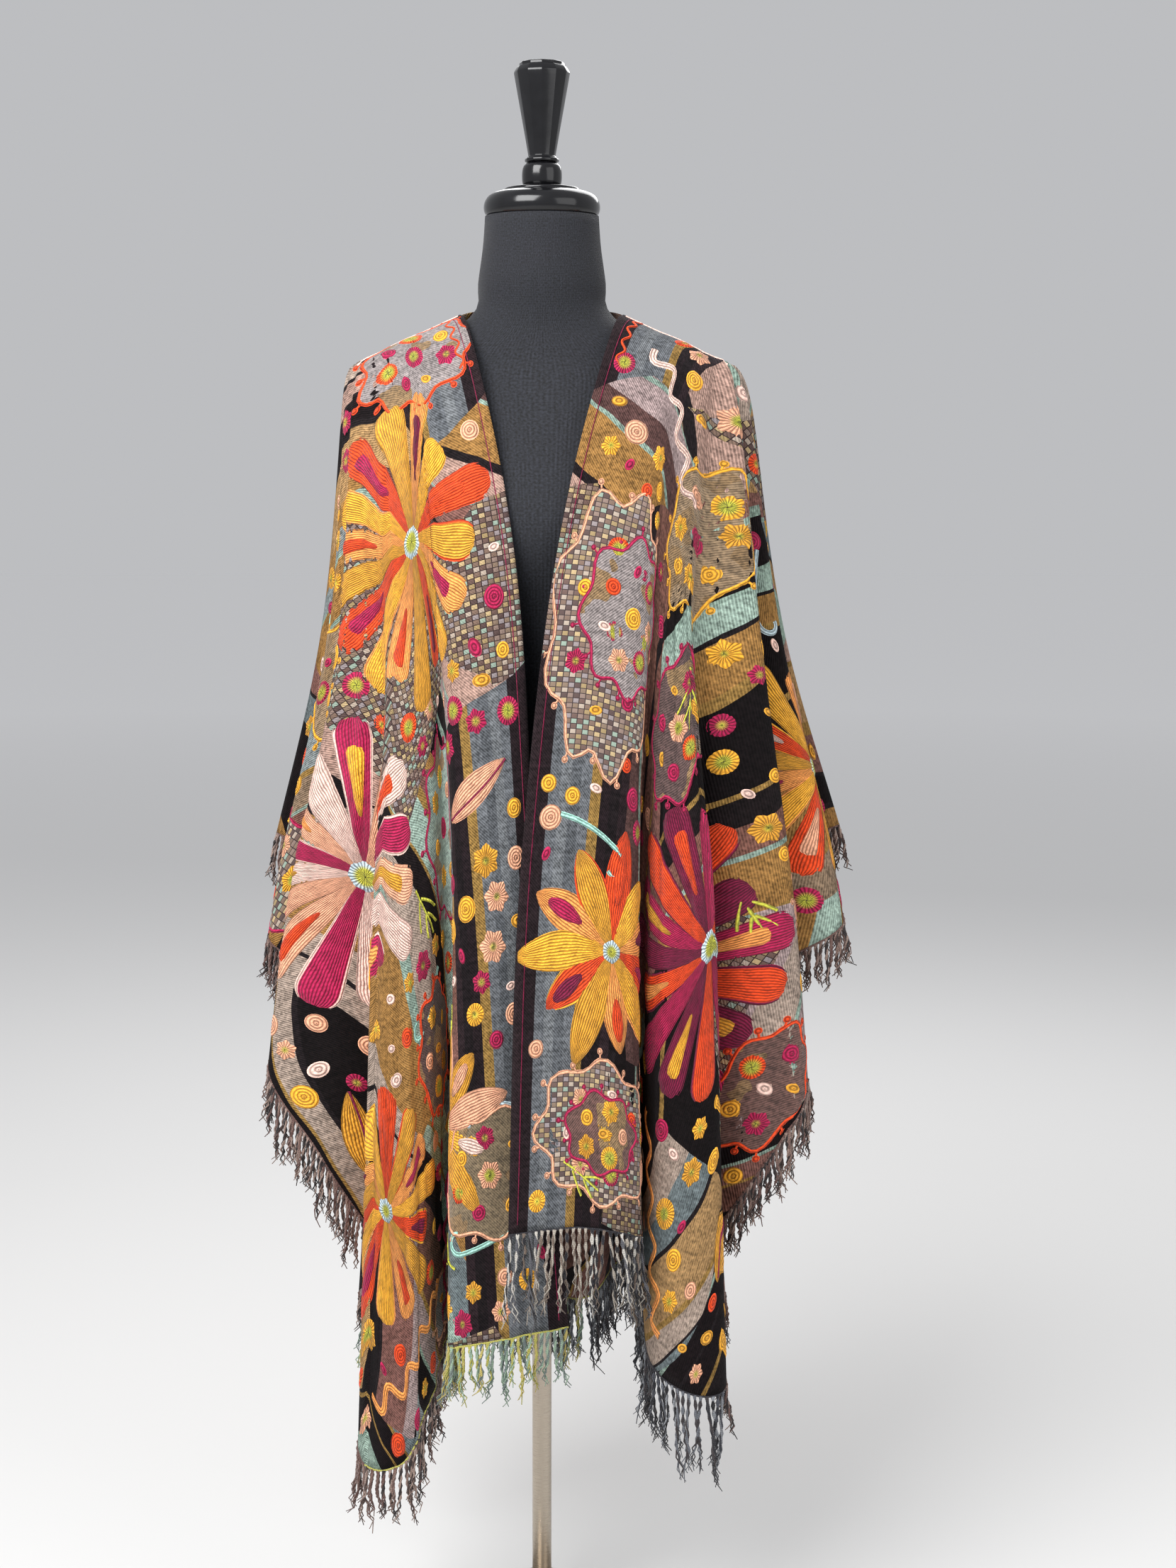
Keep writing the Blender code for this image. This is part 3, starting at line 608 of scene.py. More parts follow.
class Panel:
    """A hung panel: its grid, outward directions, flat length and the sign of each half."""

    def __init__(self, name, grid, facing, length, sides):
        self.name = name
        self.grid = grid
        self.normals = grid_normals(grid, facing)
        self.length = length
        self.sides = sides
        self.half = (grid.shape[1] - 1) // len(sides)
        self.centre = self.half * (len(sides) - 1)

    def flat_ends(self, edge):
        """Flat places of a thread's two ends, the side edge rising from the corner."""
        low_x = np.minimum(edge, HALF_WIDTH)
        past = np.maximum(edge - HALF_WIDTH, 0) / SIDE_REACH
        low_y = self.length * (1 - past)
        return RIDGE_LENGTH * ridge_share(edge), low_x, low_y

    def flat_places(self):
        """Flat place of every grid point, x signed by the wearer's side."""
        share = np.linspace(0, 1, PANEL_ROWS)[:, None] ** ROW_CROWDING
        columns = self.grid.shape[1]
        if len(self.sides) == 1:
            edge = np.linspace(0, ACROSS, columns)
            sign = np.full(columns, self.sides[0])
        else:
            edge = np.abs(np.linspace(-ACROSS, ACROSS, columns))
            sign = np.sign(np.linspace(-1, 1, columns))
        top_x, low_x, low_y = self.flat_ends(edge)
        x = (top_x + (low_x - top_x) * share) * sign
        y = low_y * share
        return x, y if len(self.sides) == 2 else -y

    def thread_at(self, x, y):
        """Thread and share of its length that pass through a flat place."""
        low = np.zeros_like(x)
        high = np.full_like(x, ACROSS)
        for _ in range(HALVINGS):
            edge = (low + high) / 2
            top_x, low_x, low_y = self.flat_ends(edge)
            before = (low_x - top_x) * y - low_y * (x - top_x) < 0
            low = np.where(before, edge, low)
            high = np.where(before, high, edge)
        run_x = low_x - top_x
        share = ((x - top_x) * run_x + y * low_y) / (run_x ** 2 + low_y ** 2)
        return edge, share

    def read(self, table, column, row):
        """Value on the triangles that the cloth's faces are split into."""
        j = np.clip(column.astype(int), 0, table.shape[1] - 2)
        i = np.clip(row.astype(int), 0, table.shape[0] - 2)
        u = (column - j)[:, None]
        v = (row - i)[:, None]
        a, b, c, d = table[i, j], table[i, j + 1], table[i + 1, j + 1], table[i + 1, j]
        beside = a + (b - a) * u + (c - b) * v
        below = a + (d - a) * v + (c - d) * u
        return np.where(u >= v, beside, below)

    def lay(self, x, y, height):
        """Points on the hung cloth for flat places, raised by height."""
        edge, share = self.thread_at(np.abs(x), y)
        column = self.centre + np.sign(x) * np.clip(edge / ACROSS, 0.002, 0.998) * self.half
        row = np.clip(share, 0.004, 0.992) ** (1 / ROW_CROWDING) * (PANEL_ROWS - 1)
        points = self.read(self.grid, column, row)
        out = unit(self.read(self.normals, column, row))
        return points + out * height[:, None], out


def make_panels():
    panels = {}
    backs = {}
    for side, name, folds, length, seed in (
        (-1, "right_front", RIGHT_FRONT_FOLDS, RIGHT_LENGTH, 1),
        (1, "left_front", LEFT_FRONT_FOLDS, LEFT_LENGTH, 2),
    ):
        grid = half_grid(folds, FRONT_COLUMNS, False, side, seed)
        panels[name] = Panel(name, grid, side, length, (side,))
        backs[side] = half_grid(folds, BACK_COLUMNS, True, side, 3)
    seam = (backs[-1][:, :1] + backs[1][:, :1]) / 2
    whole = np.concatenate([backs[-1][:, :0:-1], seam, backs[1][:, 1:]], axis=1)
    panels["back"] = Panel("back", whole, -1, BACK_LENGTH, (-1, 1))
    return panels


PANELS = make_panels()
print("panels:", {name: panel.grid.shape[:2] for name, panel in PANELS.items()})

# %% [markdown]
# ## Wool ground
# The cloth is a jacquard: broad wandering bands in plum, slate, black, mustard and sage, with
# narrow stripes beside them, straight woven stripes along the slit and areas of coarse basket
# weave. All of it is worked out from the flat place of each point, which the pieces carry as a
# UV map in metres, so the bands bend with the folds.

# %% Twill group
TWILL_PITCH = 0.0036
# how strongly the ribs are painted darker in their grooves, as painted shade
TWILL_PAINTED_SHADE = 0.55
SLUB_STRETCH = (22.0, 190.0, 1.0)
# how often in a metre the yarn and the dye vary, and how much each one lightens the wool
SPUN_SCALE = 240.0
CLOUD_SCALE = 45.0
SPUN_LIGHT = 2.2
SLUB_LIGHT = 1.2
CLOUD_LIGHT = 0.9
TWILL_DARK = 1.17
LEAST_LIGHT = 0.4


def make_twill():
    """Slanting ribs and spun-wool mottling: a colour in, a livelier colour and a height out. The
    ribs are painted lighter on their crests and darker in their grooves, as painted shade; the
    mottling is the wool's own tone.
    """
    tree, given = new_group("wool twill", (
        ("Vector", "Vector", None), ("Colour", "Color", None), ("Depth", "Float", TWILL_PAINTED_SHADE)))
    flat = given["Vector"]
    x, y, _ = flat.parts()
    rib = ((x + y) * (2 * math.pi / TWILL_PITCH)).calc("SINE") * 0.5
    spun = noise(flat, SPUN_SCALE)
    slubs = noise(stretched(flat, SLUB_STRETCH), 1.0, 3.0)
    cloud = noise(flat, CLOUD_SCALE, 3.0)
    light = rib * given["Depth"] - TWILL_DARK + spun * SPUN_LIGHT
    light = light + slubs * SLUB_LIGHT + cloud * CLOUD_LIGHT
    livelier = given["Colour"].vector("SCALE", scale=light.calc("MAXIMUM", LEAST_LIGHT))
    return close_group(tree, (("Colour", "Color", livelier), ("Height", "Float", rib + spun)))


TWILL = make_twill()

# %% Basket weave group
BASKET_PITCH = 0.0078
BASKET_YARNS = ("b3a394", "a08a63", "93a596", "8d786e", "bda57c", "94898a")
BASKET_WARPS = ("6b554e", "7d675a", "5a4845", "867261")
BASKET_GAPS = "3a2c2c"
ROWS_PER_COLUMN = 1.45
BLOCK_REACH = 0.43


def make_basket():
    """Blocks of doubled yarn, pale weft and browner warp by turns, with dark gaps between."""
    tree, given = new_group("basket weave", (("Vector", "Vector", None),))
    pitch = (1 / BASKET_PITCH, ROWS_PER_COLUMN / BASKET_PITCH, 1.0)
    grid = given["Vector"].vector("MULTIPLY", pitch)
    cell = grid.vector("FLOOR")
    column, row, _ = cell.parts()
    x, y, _ = grid.vector("FRACTION").parts()
    odd = (column + row).calc("PINGPONG", 1.0)
    reach = abs(x - 0.5).calc("MAXIMUM", abs(y - 0.5))
    block = reach < BLOCK_REACH
    pick, _ = chances(cell)
    yarn = blend(odd, steps_ramp(pick, BASKET_WARPS), steps_ramp(pick, BASKET_YARNS))
    colour = blend(block, colour_of(BASKET_GAPS), yarn)
    height = block * (odd * 0.4 + 0.6) - reach
    return close_group(tree, (("Colour", "Color", colour), ("Height", "Float", height)))


BASKET = make_basket()

# %% Ground of the ruana
# the three darkest come first: towards the hems more of the bands take them
BANDS = ("150e10", "1a1415", "130e0f", "7a5449", "6c7678", "9a7240", "a08c8a", "7e5850",
         "98ada0", "a8855a", "6e4c42", "838b8b", "a39184", "8a7560", "ab8b7e", "5a403d")
BESIDE_BANDS = ("94743f", "94743f", "1f191b", "8a9f92")
PLACE_SHIFT = (5.7, 2.9, 0.0)
# how often in a metre the bands wander, and how far
WANDERS = ((2.1, 0.30), (14.0, 0.012))
DARK_FROM = 0.40        # metres down the panel
DARK_GAIN = 0.34
DARK_MOST = 0.16
BAND_WIDTH = 0.064
BAND_LEAN = 1.9
BAND_UNEVEN = 0.3
BAND_SWELLS = 31.0
BESIDE_WIDTH = 0.14     # share of the band's width
PLAIN_SHARE = 0.3       # share of the bands without a stripe
AREAS_PER_METRE = 2.0
COARSE_PER_METRE = 3.6
COARSE_SHARE = 0.06
COARSE_RELIEF = 1.6
# from the slit outwards, each a tenth of the striped width
STRIPES = ("2a1f22", "231a1d", "63666a", "6f7275", "5c5f63", "696c70", "94743f", "231a1d",
           "1c1618", "2a1f22")
STRIPED_WIDTH = 0.135
STRIPED_SHARE = 0.62


def wandering(flat, scale, reach):
    """Flat places pushed about by a broad noise."""
    drift = noise(flat, scale, 1.0).out("Color").vector("SUBTRACT", (0.5, 0.5, 0.5))
    return flat.vector("ADD", drift.vector("SCALE", scale=reach))


def band_colour(bent):
    """Bands that keep one direction over a broad area, each with a narrow stripe at its side."""
    areas = cells(bent, AREAS_PER_METRE)
    x, y, _ = bent.parts()
    own = areas.parts("SeparateColor")[0]
    across = x + y * ((own - 0.5) * BAND_LEAN)
    bands = across / BAND_WIDTH + (across * BAND_SWELLS).calc("SINE") * BAND_UNEVEN
    spot = {0: bands.calc("FLOOR"), 1: (own * 97.0).calc("FLOOR")}
    pick, tints = chances(add(bent.tree, "CombineXYZ", spot))
    centre = areas.out("Position").parts()[1]
    down = abs(centre - PLACE_SHIFT[1])
    darker = ((down - DARK_FROM) * DARK_GAIN).between(0.0, DARK_MOST)
    colour = steps_ramp((pick - darker).calc("MAXIMUM", 0.0), BANDS)
    chance = tints.parts("SeparateColor")[1]
    stripe = (bands.calc("FRACT") < BESIDE_WIDTH) * (chance > PLAIN_SHARE)
    return blend(stripe, colour, steps_ramp(chance, BESIDE_BANDS))


def slit_stripes(flat, bent, colour):
    """Straight woven stripes beside the slit of each front, broken off in some areas."""
    x, y, _ = flat.parts()
    share = abs(x) / STRIPED_WIDTH
    chance = cells(bent, AREAS_PER_METRE).parts("SeparateColor")[2]
    here = (y < 0.0) * (share < 1.0) * (chance < STRIPED_SHARE)
    return blend(here, colour, steps_ramp(share, STRIPES))


def make_ground():
    material, tree, shader = new_material("jacquard wool", 0.92, sheen=0.02, gleam=0.15)
    flat = add(tree, "UVMap", uv_map="flat")
    bent = flat.vector("ADD", PLACE_SHIFT)
    for scale, reach in WANDERS:
        bent = wandering(bent, scale, reach)
    colour = slit_stripes(flat, bent, band_colour(bent))
    twill = add(tree, "Group", {"Vector": flat, "Colour": colour}, node_tree=TWILL)
    basket = add(tree, "Group", {"Vector": flat}, node_tree=BASKET)
    coarse = cells(bent, COARSE_PER_METRE).parts("SeparateColor")[1] < COARSE_SHARE
    height = twill.out("Height") + basket.out("Height") * (coarse * COARSE_RELIEF)
    surface(shader, blend(coarse, twill, basket), height, 0.0007)
    return material


GROUND = make_ground()
print("ground nodes:", len(GROUND.node_tree.nodes))

# %% [markdown]
# ## Cloth shells
# Each panel is one thin shell a little over a millimetre thick. The surface comes from the
# panel's grid, and Solidify gives it its other face. Its flat places go into the UV map. The
# helpers come first, because the embroidery, the fringe and the form need the same steps.

# %% Meshes from points


def grid_quads(rows, columns, first=0):
    """Corners of the faces of a grid of points, which are counted from first."""
    index = first + np.arange(rows * columns).reshape(rows, columns)
    return np.stack([index[:-1, :-1], index[:-1, 1:], index[1:, 1:], index[1:, :-1]], axis=-1)


def facing(quads, points, outward):
    """How the faces look along outward: positive where most of them do."""
    a, b, c, d = (points[quads[..., corner]] for corner in range(4))
    return np.median(np.sum(np.cross(c - a, d - b) * outward[quads[..., 0]], axis=-1))


def mesh_piece(name, points, faces, uv_name, places, colours=None, materials=()):
    """Smooth piece whose UV map holds a place for every point, and if asked a thread colour."""
    mesh = bpy.data.meshes.new(name)
    mesh.from_pydata(np.asarray(points).tolist(), [], faces)
    corners = [corner for face in faces for corner in face]
    layer = mesh.uv_layers.new(name=uv_name)
    layer.data.foreach_set("uv", np.asarray(places)[corners].ravel())
    if colours is not None:
        shades = mesh.color_attributes.new(name="thread", type="FLOAT_COLOR", domain="POINT")
        solid = np.column_stack([colours, np.ones(len(colours))])
        shades.data.foreach_set("color", solid.ravel())
    for material in materials:
        mesh.materials.append(material)
    mesh.shade_smooth()
    piece = bpy.data.objects.new(name, mesh)
    bpy.context.scene.collection.objects.link(piece)
    return piece


def grid_piece(name, points, outward, uv_name, u, v):
    """Surface through a grid of points, facing along outward, with its own UV map."""
    quads = grid_quads(*points.shape[:2]).reshape(-1, 4)
    points = points.reshape(-1, 3)
    if facing(quads, points, outward.reshape(-1, 3)) < 0:
        quads = quads[:, [0, 3, 2, 1]]
    places = np.stack([u.ravel(), v.ravel()], axis=1)
    return mesh_piece(name, points, quads.tolist(), uv_name, places)


# %% Finish of a piece


def make_active(piece):
    bpy.ops.object.select_all(action="DESELECT")
    piece.select_set(True)
    bpy.context.view_layer.objects.active = piece


def apply_modifiers(piece):
    make_active(piece)
    for modifier in list(piece.modifiers):
        bpy.ops.object.modifier_apply(modifier=modifier.name)
    piece.select_set(False)


def turn_outwards(piece):
    """In edit mode: turn all faces of a closed piece outwards, then leave edit mode."""
    bpy.ops.mesh.select_all(action="SELECT")
    bpy.ops.mesh.normals_make_consistent(inside=False)
    bpy.ops.object.mode_set(mode="OBJECT")
    piece.select_set(False)


def belong(piece, node=None):
    """The piece rides on the one body, and may stand for a node of the model."""
    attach(piece, "root")
    if node:
        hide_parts(node)
    return piece


# %% Make the cloth
CLOTH_FACE = 0.0016
SHELL = 0.0012


def make_cloth(panel):
    points = panel.grid + panel.normals * CLOTH_FACE
    piece = grid_piece(panel.name + "_cloth", points, panel.normals, "flat", *panel.flat_places())
    wall = piece.modifiers.new("wall", "SOLIDIFY")
    wall.thickness = SHELL
    wall.offset = -1
    apply_modifiers(piece)
    piece.data.materials.append(GROUND)
    return belong(piece, panel.name)


CLOTHS = {name: make_cloth(panel) for name, panel in PANELS.items()}
print("cloth faces:", {name: len(piece.data.polygons) for name, piece in CLOTHS.items()})

# %% [markdown]
# ## Chain-stitch embroidery
# The flowers are worked in soft wool, row beside row of small loops, and stand over a
# millimetre proud of the cloth. Each shape is drawn as a small flat grid with a height, then
# laid on the folds. Its UV map counts metres along and across the rows of stitches, and a colour
# attribute holds its thread. The motifs here are plain ones of folk embroidery, in an order
# of their own.

# %% Threads and stitches
THREADS = {
    "orange": "f04c1c", "marigold": "ffb637", "ochre": "e8a435", "peach": "f4b08c",
    "apricot": "ffa555", "raspberry": "b41e50", "wine": "7c173d", "pink": "f7cfc0",
    "lime": "cccb48", "aqua": "a6dacb", "mist": "bfd3da",
}
THREADS = {name: colour_of(code) for name, code in THREADS.items()}
ROW_PITCH = 0.0036
LOOP_LENGTH = 0.0060
LOOP_SHIFT = 0.37
ROW_WOBBLE = 0.7
LOOP_RELIEF = 0.35
# painted light of the crests against the painted shade between the rows, random tone from the
# wobble, and what is taken off everywhere
CREST_PAINTED_LIGHT = 0.85
WOBBLE_LIGHT = 1.25
STITCH_DARK = 0.15
LEAST_STITCH_LIGHT = 0.3


def make_stitches():
    """Rows of small loops: height, and a light that paints the crests lighter and the grooves
    between rows darker, as painted light and shade, with random tone from the wobble.
    """
    tree, given = new_group("chain stitch", (("Vector", "Vector", None),))
    along, across, _ = given["Vector"].parts()
    wobble = noise(given["Vector"], 90.0)
    row = across / ROW_PITCH + wobble * ROW_WOBBLE
    crest = abs((row * math.pi).calc("SINE"))
    loop = along / LOOP_LENGTH + row.calc("FLOOR") * LOOP_SHIFT
    loop = abs((loop * math.pi).calc("SINE"))
    height = crest * (loop * LOOP_RELIEF + (1 - LOOP_RELIEF))
    light = height * CREST_PAINTED_LIGHT - STITCH_DARK + wobble * WOBBLE_LIGHT
    light = light.calc("MAXIMUM", LEAST_STITCH_LIGHT)
    return close_group(tree, (("Light", "Float", light), ("Height", "Float", height)))


STITCHES = make_stitches()


def make_thread_material():
    material, tree, shader = new_material("embroidery wool", 0.7, sheen=0.08, gleam=0.3)
    place = add(tree, "UVMap", uv_map="stitch")
    stitches = add(tree, "Group", {"Vector": place}, node_tree=STITCHES)
    thread = add(tree, "VertexColor", layer_name="thread")
    # the thread's colour, painted lighter on the crests of the rows and darker between them
    lit = thread.vector("SCALE", scale=stitches.out("Light"))
    surface(shader, lit, stitches.out("Height"), 0.0016)
    return material


THREAD_WOOL = make_thread_material()

# %% Grounds inside the scalloped patches
PATCH_COLOURS = ("8f8583", "7d6c54", "6a4d46", "8fa196", "947c60", "5a4643")
PATCH_CLOUDS = "8a6f4e"


def make_patch_materials():
    made = []
    for name, weave in (("patch twill", TWILL), ("patch basket", BASKET)):
        material, tree, shader = new_material(name, 0.9, sheen=0.25)
        flat = add(tree, "UVMap", uv_map="stitch")
        inputs = {"Vector": flat}
        if weave == TWILL:
            shade = add(tree, "VertexColor", layer_name="thread")
            inputs["Colour"] = blend(noise(flat, 16.0) > 0.56, shade, colour_of(PATCH_CLOUDS))
        woven = add(tree, "Group", inputs, node_tree=weave)
        surface(shader, woven, woven.out("Height"), 0.0006)
        made.append(material)
    return made


PATCH_MATERIALS = make_patch_materials()

# %% Needlework: flat grids gathered for one panel
SINK = 0.0005
EDGE_MARGIN = 0.004
SLIT_MARGIN = 0.003
TOP_MARGIN = 0.002
HEM_MARGIN = 0.005


class Needlework:
    """Shapes drawn on the flat cloth, gathered and laid on the hung panel as one mesh."""

    def __init__(self, panel):
        self.panel = panel
        self.grids = []
        self.taken = []

    def add(self, x, y, height, u, v, colour, material=0):
        flat = [np.broadcast_to(value, x.shape) for value in (x, y, height, u, v)]
        colours = np.broadcast_to(np.asarray(colour, float), x.shape + (3,))
        self.grids.append((*flat, colours, material))

    def take(self, place, room):
        self.taken.append((*place, room))

    def free(self, x, y, room):
        """Whether a round place is clear of all that is taken."""
        return all((x - a) ** 2 + (y - b) ** 2 > (room + r) ** 2 for a, b, r in self.taken)

    def build(self, name, materials):
        x, y, height, u, v = (np.concatenate([grid[k].ravel() for grid in self.grids])
                              for k in range(5))
        low = SLIT_MARGIN if len(self.panel.sides) == 1 else -HALF_WIDTH + EDGE_MARGIN
        high, top, hem = HALF_WIDTH - EDGE_MARGIN, TOP_MARGIN, self.panel.length - HEM_MARGIN
        inside = (x > low) & (x < high) & (y > top) & (y < hem)
        x, y = np.clip(x, low, high), np.clip(y, top, hem)
        points, outward = self.panel.lay(x, y, height + CLOTH_FACE)
        colours = np.concatenate([grid[5].reshape(-1, 3) for grid in self.grids])
        quads = []
        kinds = []
        first = 0
        for grid in self.grids:
            faces = grid_quads(*grid[0].shape, first)
            if facing(faces, points, outward) < 0:
                faces = faces[..., ::-1]
            faces = faces.reshape(-1, 4)
            faces = faces[inside[faces].any(axis=1)]
            quads.append(faces)
            kinds.extend([grid[6]] * len(faces))
            first += grid[0].size
        piece = mesh_piece(name, points, np.concatenate(quads).tolist(), "stitch",
                           np.stack([u, v], axis=1), colours, materials)
        piece.data.polygons.foreach_set("material_index", kinds)
        return belong(piece)


# %% Shapes of the embroidery
PETAL_STEP = 0.0056
STITCH_RISE = 0.0014
LAYER_RISE = 0.0007
OUTLINE_SHARE = 0.82
OUTLINE_SHADE = 0.72
GROOVE = 0.0005
GROOVE_SPREAD = 0.05
# places of the rows across a petal's edge, as shares of its half width
EDGE_ROWS = (0.84, 0.92, 1.0)
# how a petal's width runs: a pointed one's skew, fullness and foot, a club's foot and growth
POINTED_SKEW = 1.2
POINTED_FULLNESS = 0.75
POINTED_FOOT = 0.05
CLUB_FOOT = 0.10
CLUB_GROWTH = 0.85
ROUND_FROM = 0.84
ROUND_LENGTH = 0.165
RING_STEP = 0.0045
RINGS_FROM = 0.04
RINGS_TO = 0.94
LOBE_DEPTH = 0.15
SIDES_ROUND = {"dot": 12, "disc": 18, "lobed": 24}
DOT_RADIUS = 0.008


def step_from(x, y, angle, along, aside=0.0):
    """Place that lies so far along an angle, and so far to its side."""
    return (x + along * math.cos(angle) - aside * math.sin(angle),
            y + along * math.sin(angle) + aside * math.cos(angle))


def petal_width(s, club):
    """Share of the full width along a petal: pointed at both ends, or club-shaped and round."""
    if not club:
        full = np.clip(np.sin(math.pi * s ** POINTED_SKEW), 0, 1) ** POINTED_FULLNESS
        return full * (1 - POINTED_FOOT) + POINTED_FOOT * (1 - s)
    past = np.clip(s - ROUND_FROM, 0, 1) / ROUND_LENGTH
    round_end = np.sqrt(np.clip(1 - past ** 2, 0, 1))
    return (CLUB_FOOT + (1 - CLUB_FOOT) * s ** CLUB_GROWTH) * round_end


def petal(work, x, y, angle, length, width, colour, layer=0, club=True, edge=None):
    """Rows of stitches run from the petal's narrow foot to its tip, inside an outline row."""
    rows = max(6, int(length / PETAL_STEP))
    inner = max(3, int(width / PETAL_STEP))
    s = np.linspace(0, 1, rows + 1)[:, None]
    edges = np.array(EDGE_ROWS)
    t = np.concatenate([-edges[::-1], np.linspace(-0.8, 0.8, inner), edges])[None, :]
    run = s * length
    gx, gy = step_from(x, y, angle, run, petal_width(s, club) * t * width / 2)
    groove = GROOVE * np.exp(-((np.abs(t) - OUTLINE_SHARE) / GROOVE_SPREAD) ** 2)
    rise = (1 - t ** 8) * (1 - (2 * s - 1) ** 12)
    height = rise * (STITCH_RISE + layer * LAYER_RISE) - groove - SINK
    shades = np.broadcast_to(np.asarray(colour), gx.shape + (3,)).copy()
    outline = np.asarray(colour) * OUTLINE_SHADE if edge is None else np.asarray(edge)
    shades[:, np.abs(t[0]) > OUTLINE_SHARE] = outline
    work.add(gx, gy, height, run, width / 2 * t, shades)


def disc(work, x, y, radius, rings, lobes=0, layer=0, stretch=1.0, turn=0.0, rayed=False):
    """A coil of stitches or a ring of rays, in one thread or several, round or with lobes."""
    around = SIDES_ROUND["dot" if radius < DOT_RADIUS else "lobed" if lobes else "disc"]
    steps = max(3, int(radius / RING_STEP) + 1)
    r = np.concatenate([np.linspace(RINGS_FROM, RINGS_TO, steps), [1.0]])[:, None]
    a = np.linspace(0, 2 * math.pi, around + 1)[None, :]
    edge = 1 + (LOBE_DEPTH * np.cos(lobes * a) if lobes else 0 * a)
    reach = radius * r * (1 + (edge - 1) * r)
    gx, gy = step_from(x, y, turn, reach * np.cos(a) * stretch, reach * np.sin(a))
    height = (1 - r ** 8) * (STITCH_RISE + layer * LAYER_RISE) - SINK
    colour = np.zeros(gx.shape + (3,))
    for share, thread in reversed(rings):
        colour[(r[:, 0] <= share + 1e-6)] = THREADS[thread]
    rows_round = max(6, round(radius * 5 / ROW_PITCH)) * ROW_PITCH / (2 * math.pi)
    u, v = (radius * r, a * rows_round) if rayed else (a * radius * 0.6, radius * r)
    work.add(gx, gy, height, u, v, colour)
    work.take((x, y), radius * stretch)


def ribbon(work, points, width, colour, layer=0):
    """A line of stitches along points, half round across."""
    points = np.asarray(points, float)
    way = unit(np.gradient(points, axis=0))
    t = np.linspace(-1, 1, 5)[None, :]
    gx = points[:, :1] - way[:, 1:] * t * width / 2
    gy = points[:, 1:] + way[:, :1] * t * width / 2
    height = (1 - t ** 4) * (STITCH_RISE + layer * LAYER_RISE) - SINK
    work.add(gx, gy, height, run_along(points)[:, None], width / 2 * t, colour)


# %% Motifs
# width of a petal as a share of its place round the flower, by shape
CLUB_WIDTH = 0.80
POINTED_WIDTH = 0.66
SWELL = 0.11
# foot, length and width of the slimmer petal, and size of the heart, as shares of the big petal
INNER_FOOT = 0.38
INNER_LENGTH = 0.48
INNER_WIDTH = 0.46
HEART_SHARE = 0.11
LEAF_WIDTH = 0.36
LEAF_BOW = 0.05
RIB_WIDTH = 0.004
WAVE_BOW = 0.011
WAVE_PITCH = 0.052
WAVE_WIDTH = 0.011
TENDRIL_WIDTH = 0.0075
SPRIG_WIDTH = 0.0042
# foot along the stalk, turn off it and length of each shoot, the stalk itself first
SHOOTS = ((0, 0, 1.0), (0.3, 0.7, 0.5), (0.3, -0.7, 0.5), (0.6, 0.6, 0.38), (0.6, -0.6, 0.38))
PATCH_SIDES = 60
PATCH_STEP = 0.008
SCALLOP = 0.09
PATCH_SKEW = 0.05
PATCH_RISE = 0.0004
PATCH_LAYER = 0.0005
PATCH_LINE = 0.0055
KNOT_EVERY = 4
KNOT_REACH = 0.0060
KNOT_STEM = 0.004
KNOT_LINE = 0.003
KNOT_RADIUS = 0.0042


def flower(work, x, y, reach, petals, turn, threads, second):
    """Round flower: a ring of long petals, every second one with a slimmer one in it."""
    club = petals % 2 == 0
    for k in range(petals):
        angle = turn + 2 * math.pi * k / petals
        swell = 1 + SWELL * math.sin(2.6 * k + turn)
        width = 2 * math.pi * reach * (CLUB_WIDTH if club else POINTED_WIDTH) / petals
        colour = THREADS[threads[k % len(threads)]]
        edge = THREADS[threads[(k + 1) % len(threads)]] if k % 3 == 1 else None
        petal(work, x, y, angle, reach * swell, width, colour, k % 2, club, edge)
        if k % 2 == 0:
            foot = step_from(x, y, angle, reach * INNER_FOOT)
            inner = THREADS[second[(k // 2) % len(second)]]
            long, wide = reach * swell * INNER_LENGTH, width * INNER_WIDTH
            petal(work, *foot, angle, long, wide, inner, 2, club)
    disc(work, x, y, reach * HEART_SHARE, ((0.5, "lime"), (1.0, "mist")), layer=3, rayed=True)
    work.take((x, y), reach * 0.96)


def leaf(work, x, y, length, angle, thread, rib):
    petal(work, x, y, angle, length, length * LEAF_WIDTH, THREADS[thread], club=False)
    s = np.linspace(0.02, 0.93, 15)
    line = step_from(x, y, angle, s * length, LEAF_BOW * length * np.sin(math.pi * s))
    ribbon(work, np.column_stack(line), RIB_WIDTH, THREADS[rib], layer=1)
    work.take(step_from(x, y, angle, length * 0.5), length * LEAF_WIDTH)


def wave(work, x, y, length, angle, thread):
    """Thick wavy band of stitches."""
    s = np.linspace(0, 1, max(20, int(length / 0.004)))
    bow = WAVE_BOW * np.sin(s * length * 2 * math.pi / WAVE_PITCH)
    line = np.column_stack(step_from(x, y, angle, s * length, bow))
    ribbon(work, line, WAVE_WIDTH, THREADS[thread])
    for place in line[::14]:
        work.take(place, 2 * WAVE_WIDTH)


def sprig(work, x, y, size, angle, thread):
    """A stalk with short side shoots."""
    for k, (foot, turn, length) in enumerate(SHOOTS):
        s = np.linspace(0, 1, 12)
        way = angle + turn * (1 - 0.35 * s)
        step = size * length / len(s)
        fx, fy = step_from(x, y, angle, foot * size)
        shoot = np.column_stack([fx + np.cumsum(step * np.cos(way)),
                                 fy + np.cumsum(step * np.sin(way))])
        ribbon(work, shoot, SPRIG_WIDTH, THREADS[thread], layer=k % 2)
    work.take(step_from(x, y, angle, size * 0.5), size * 0.42)


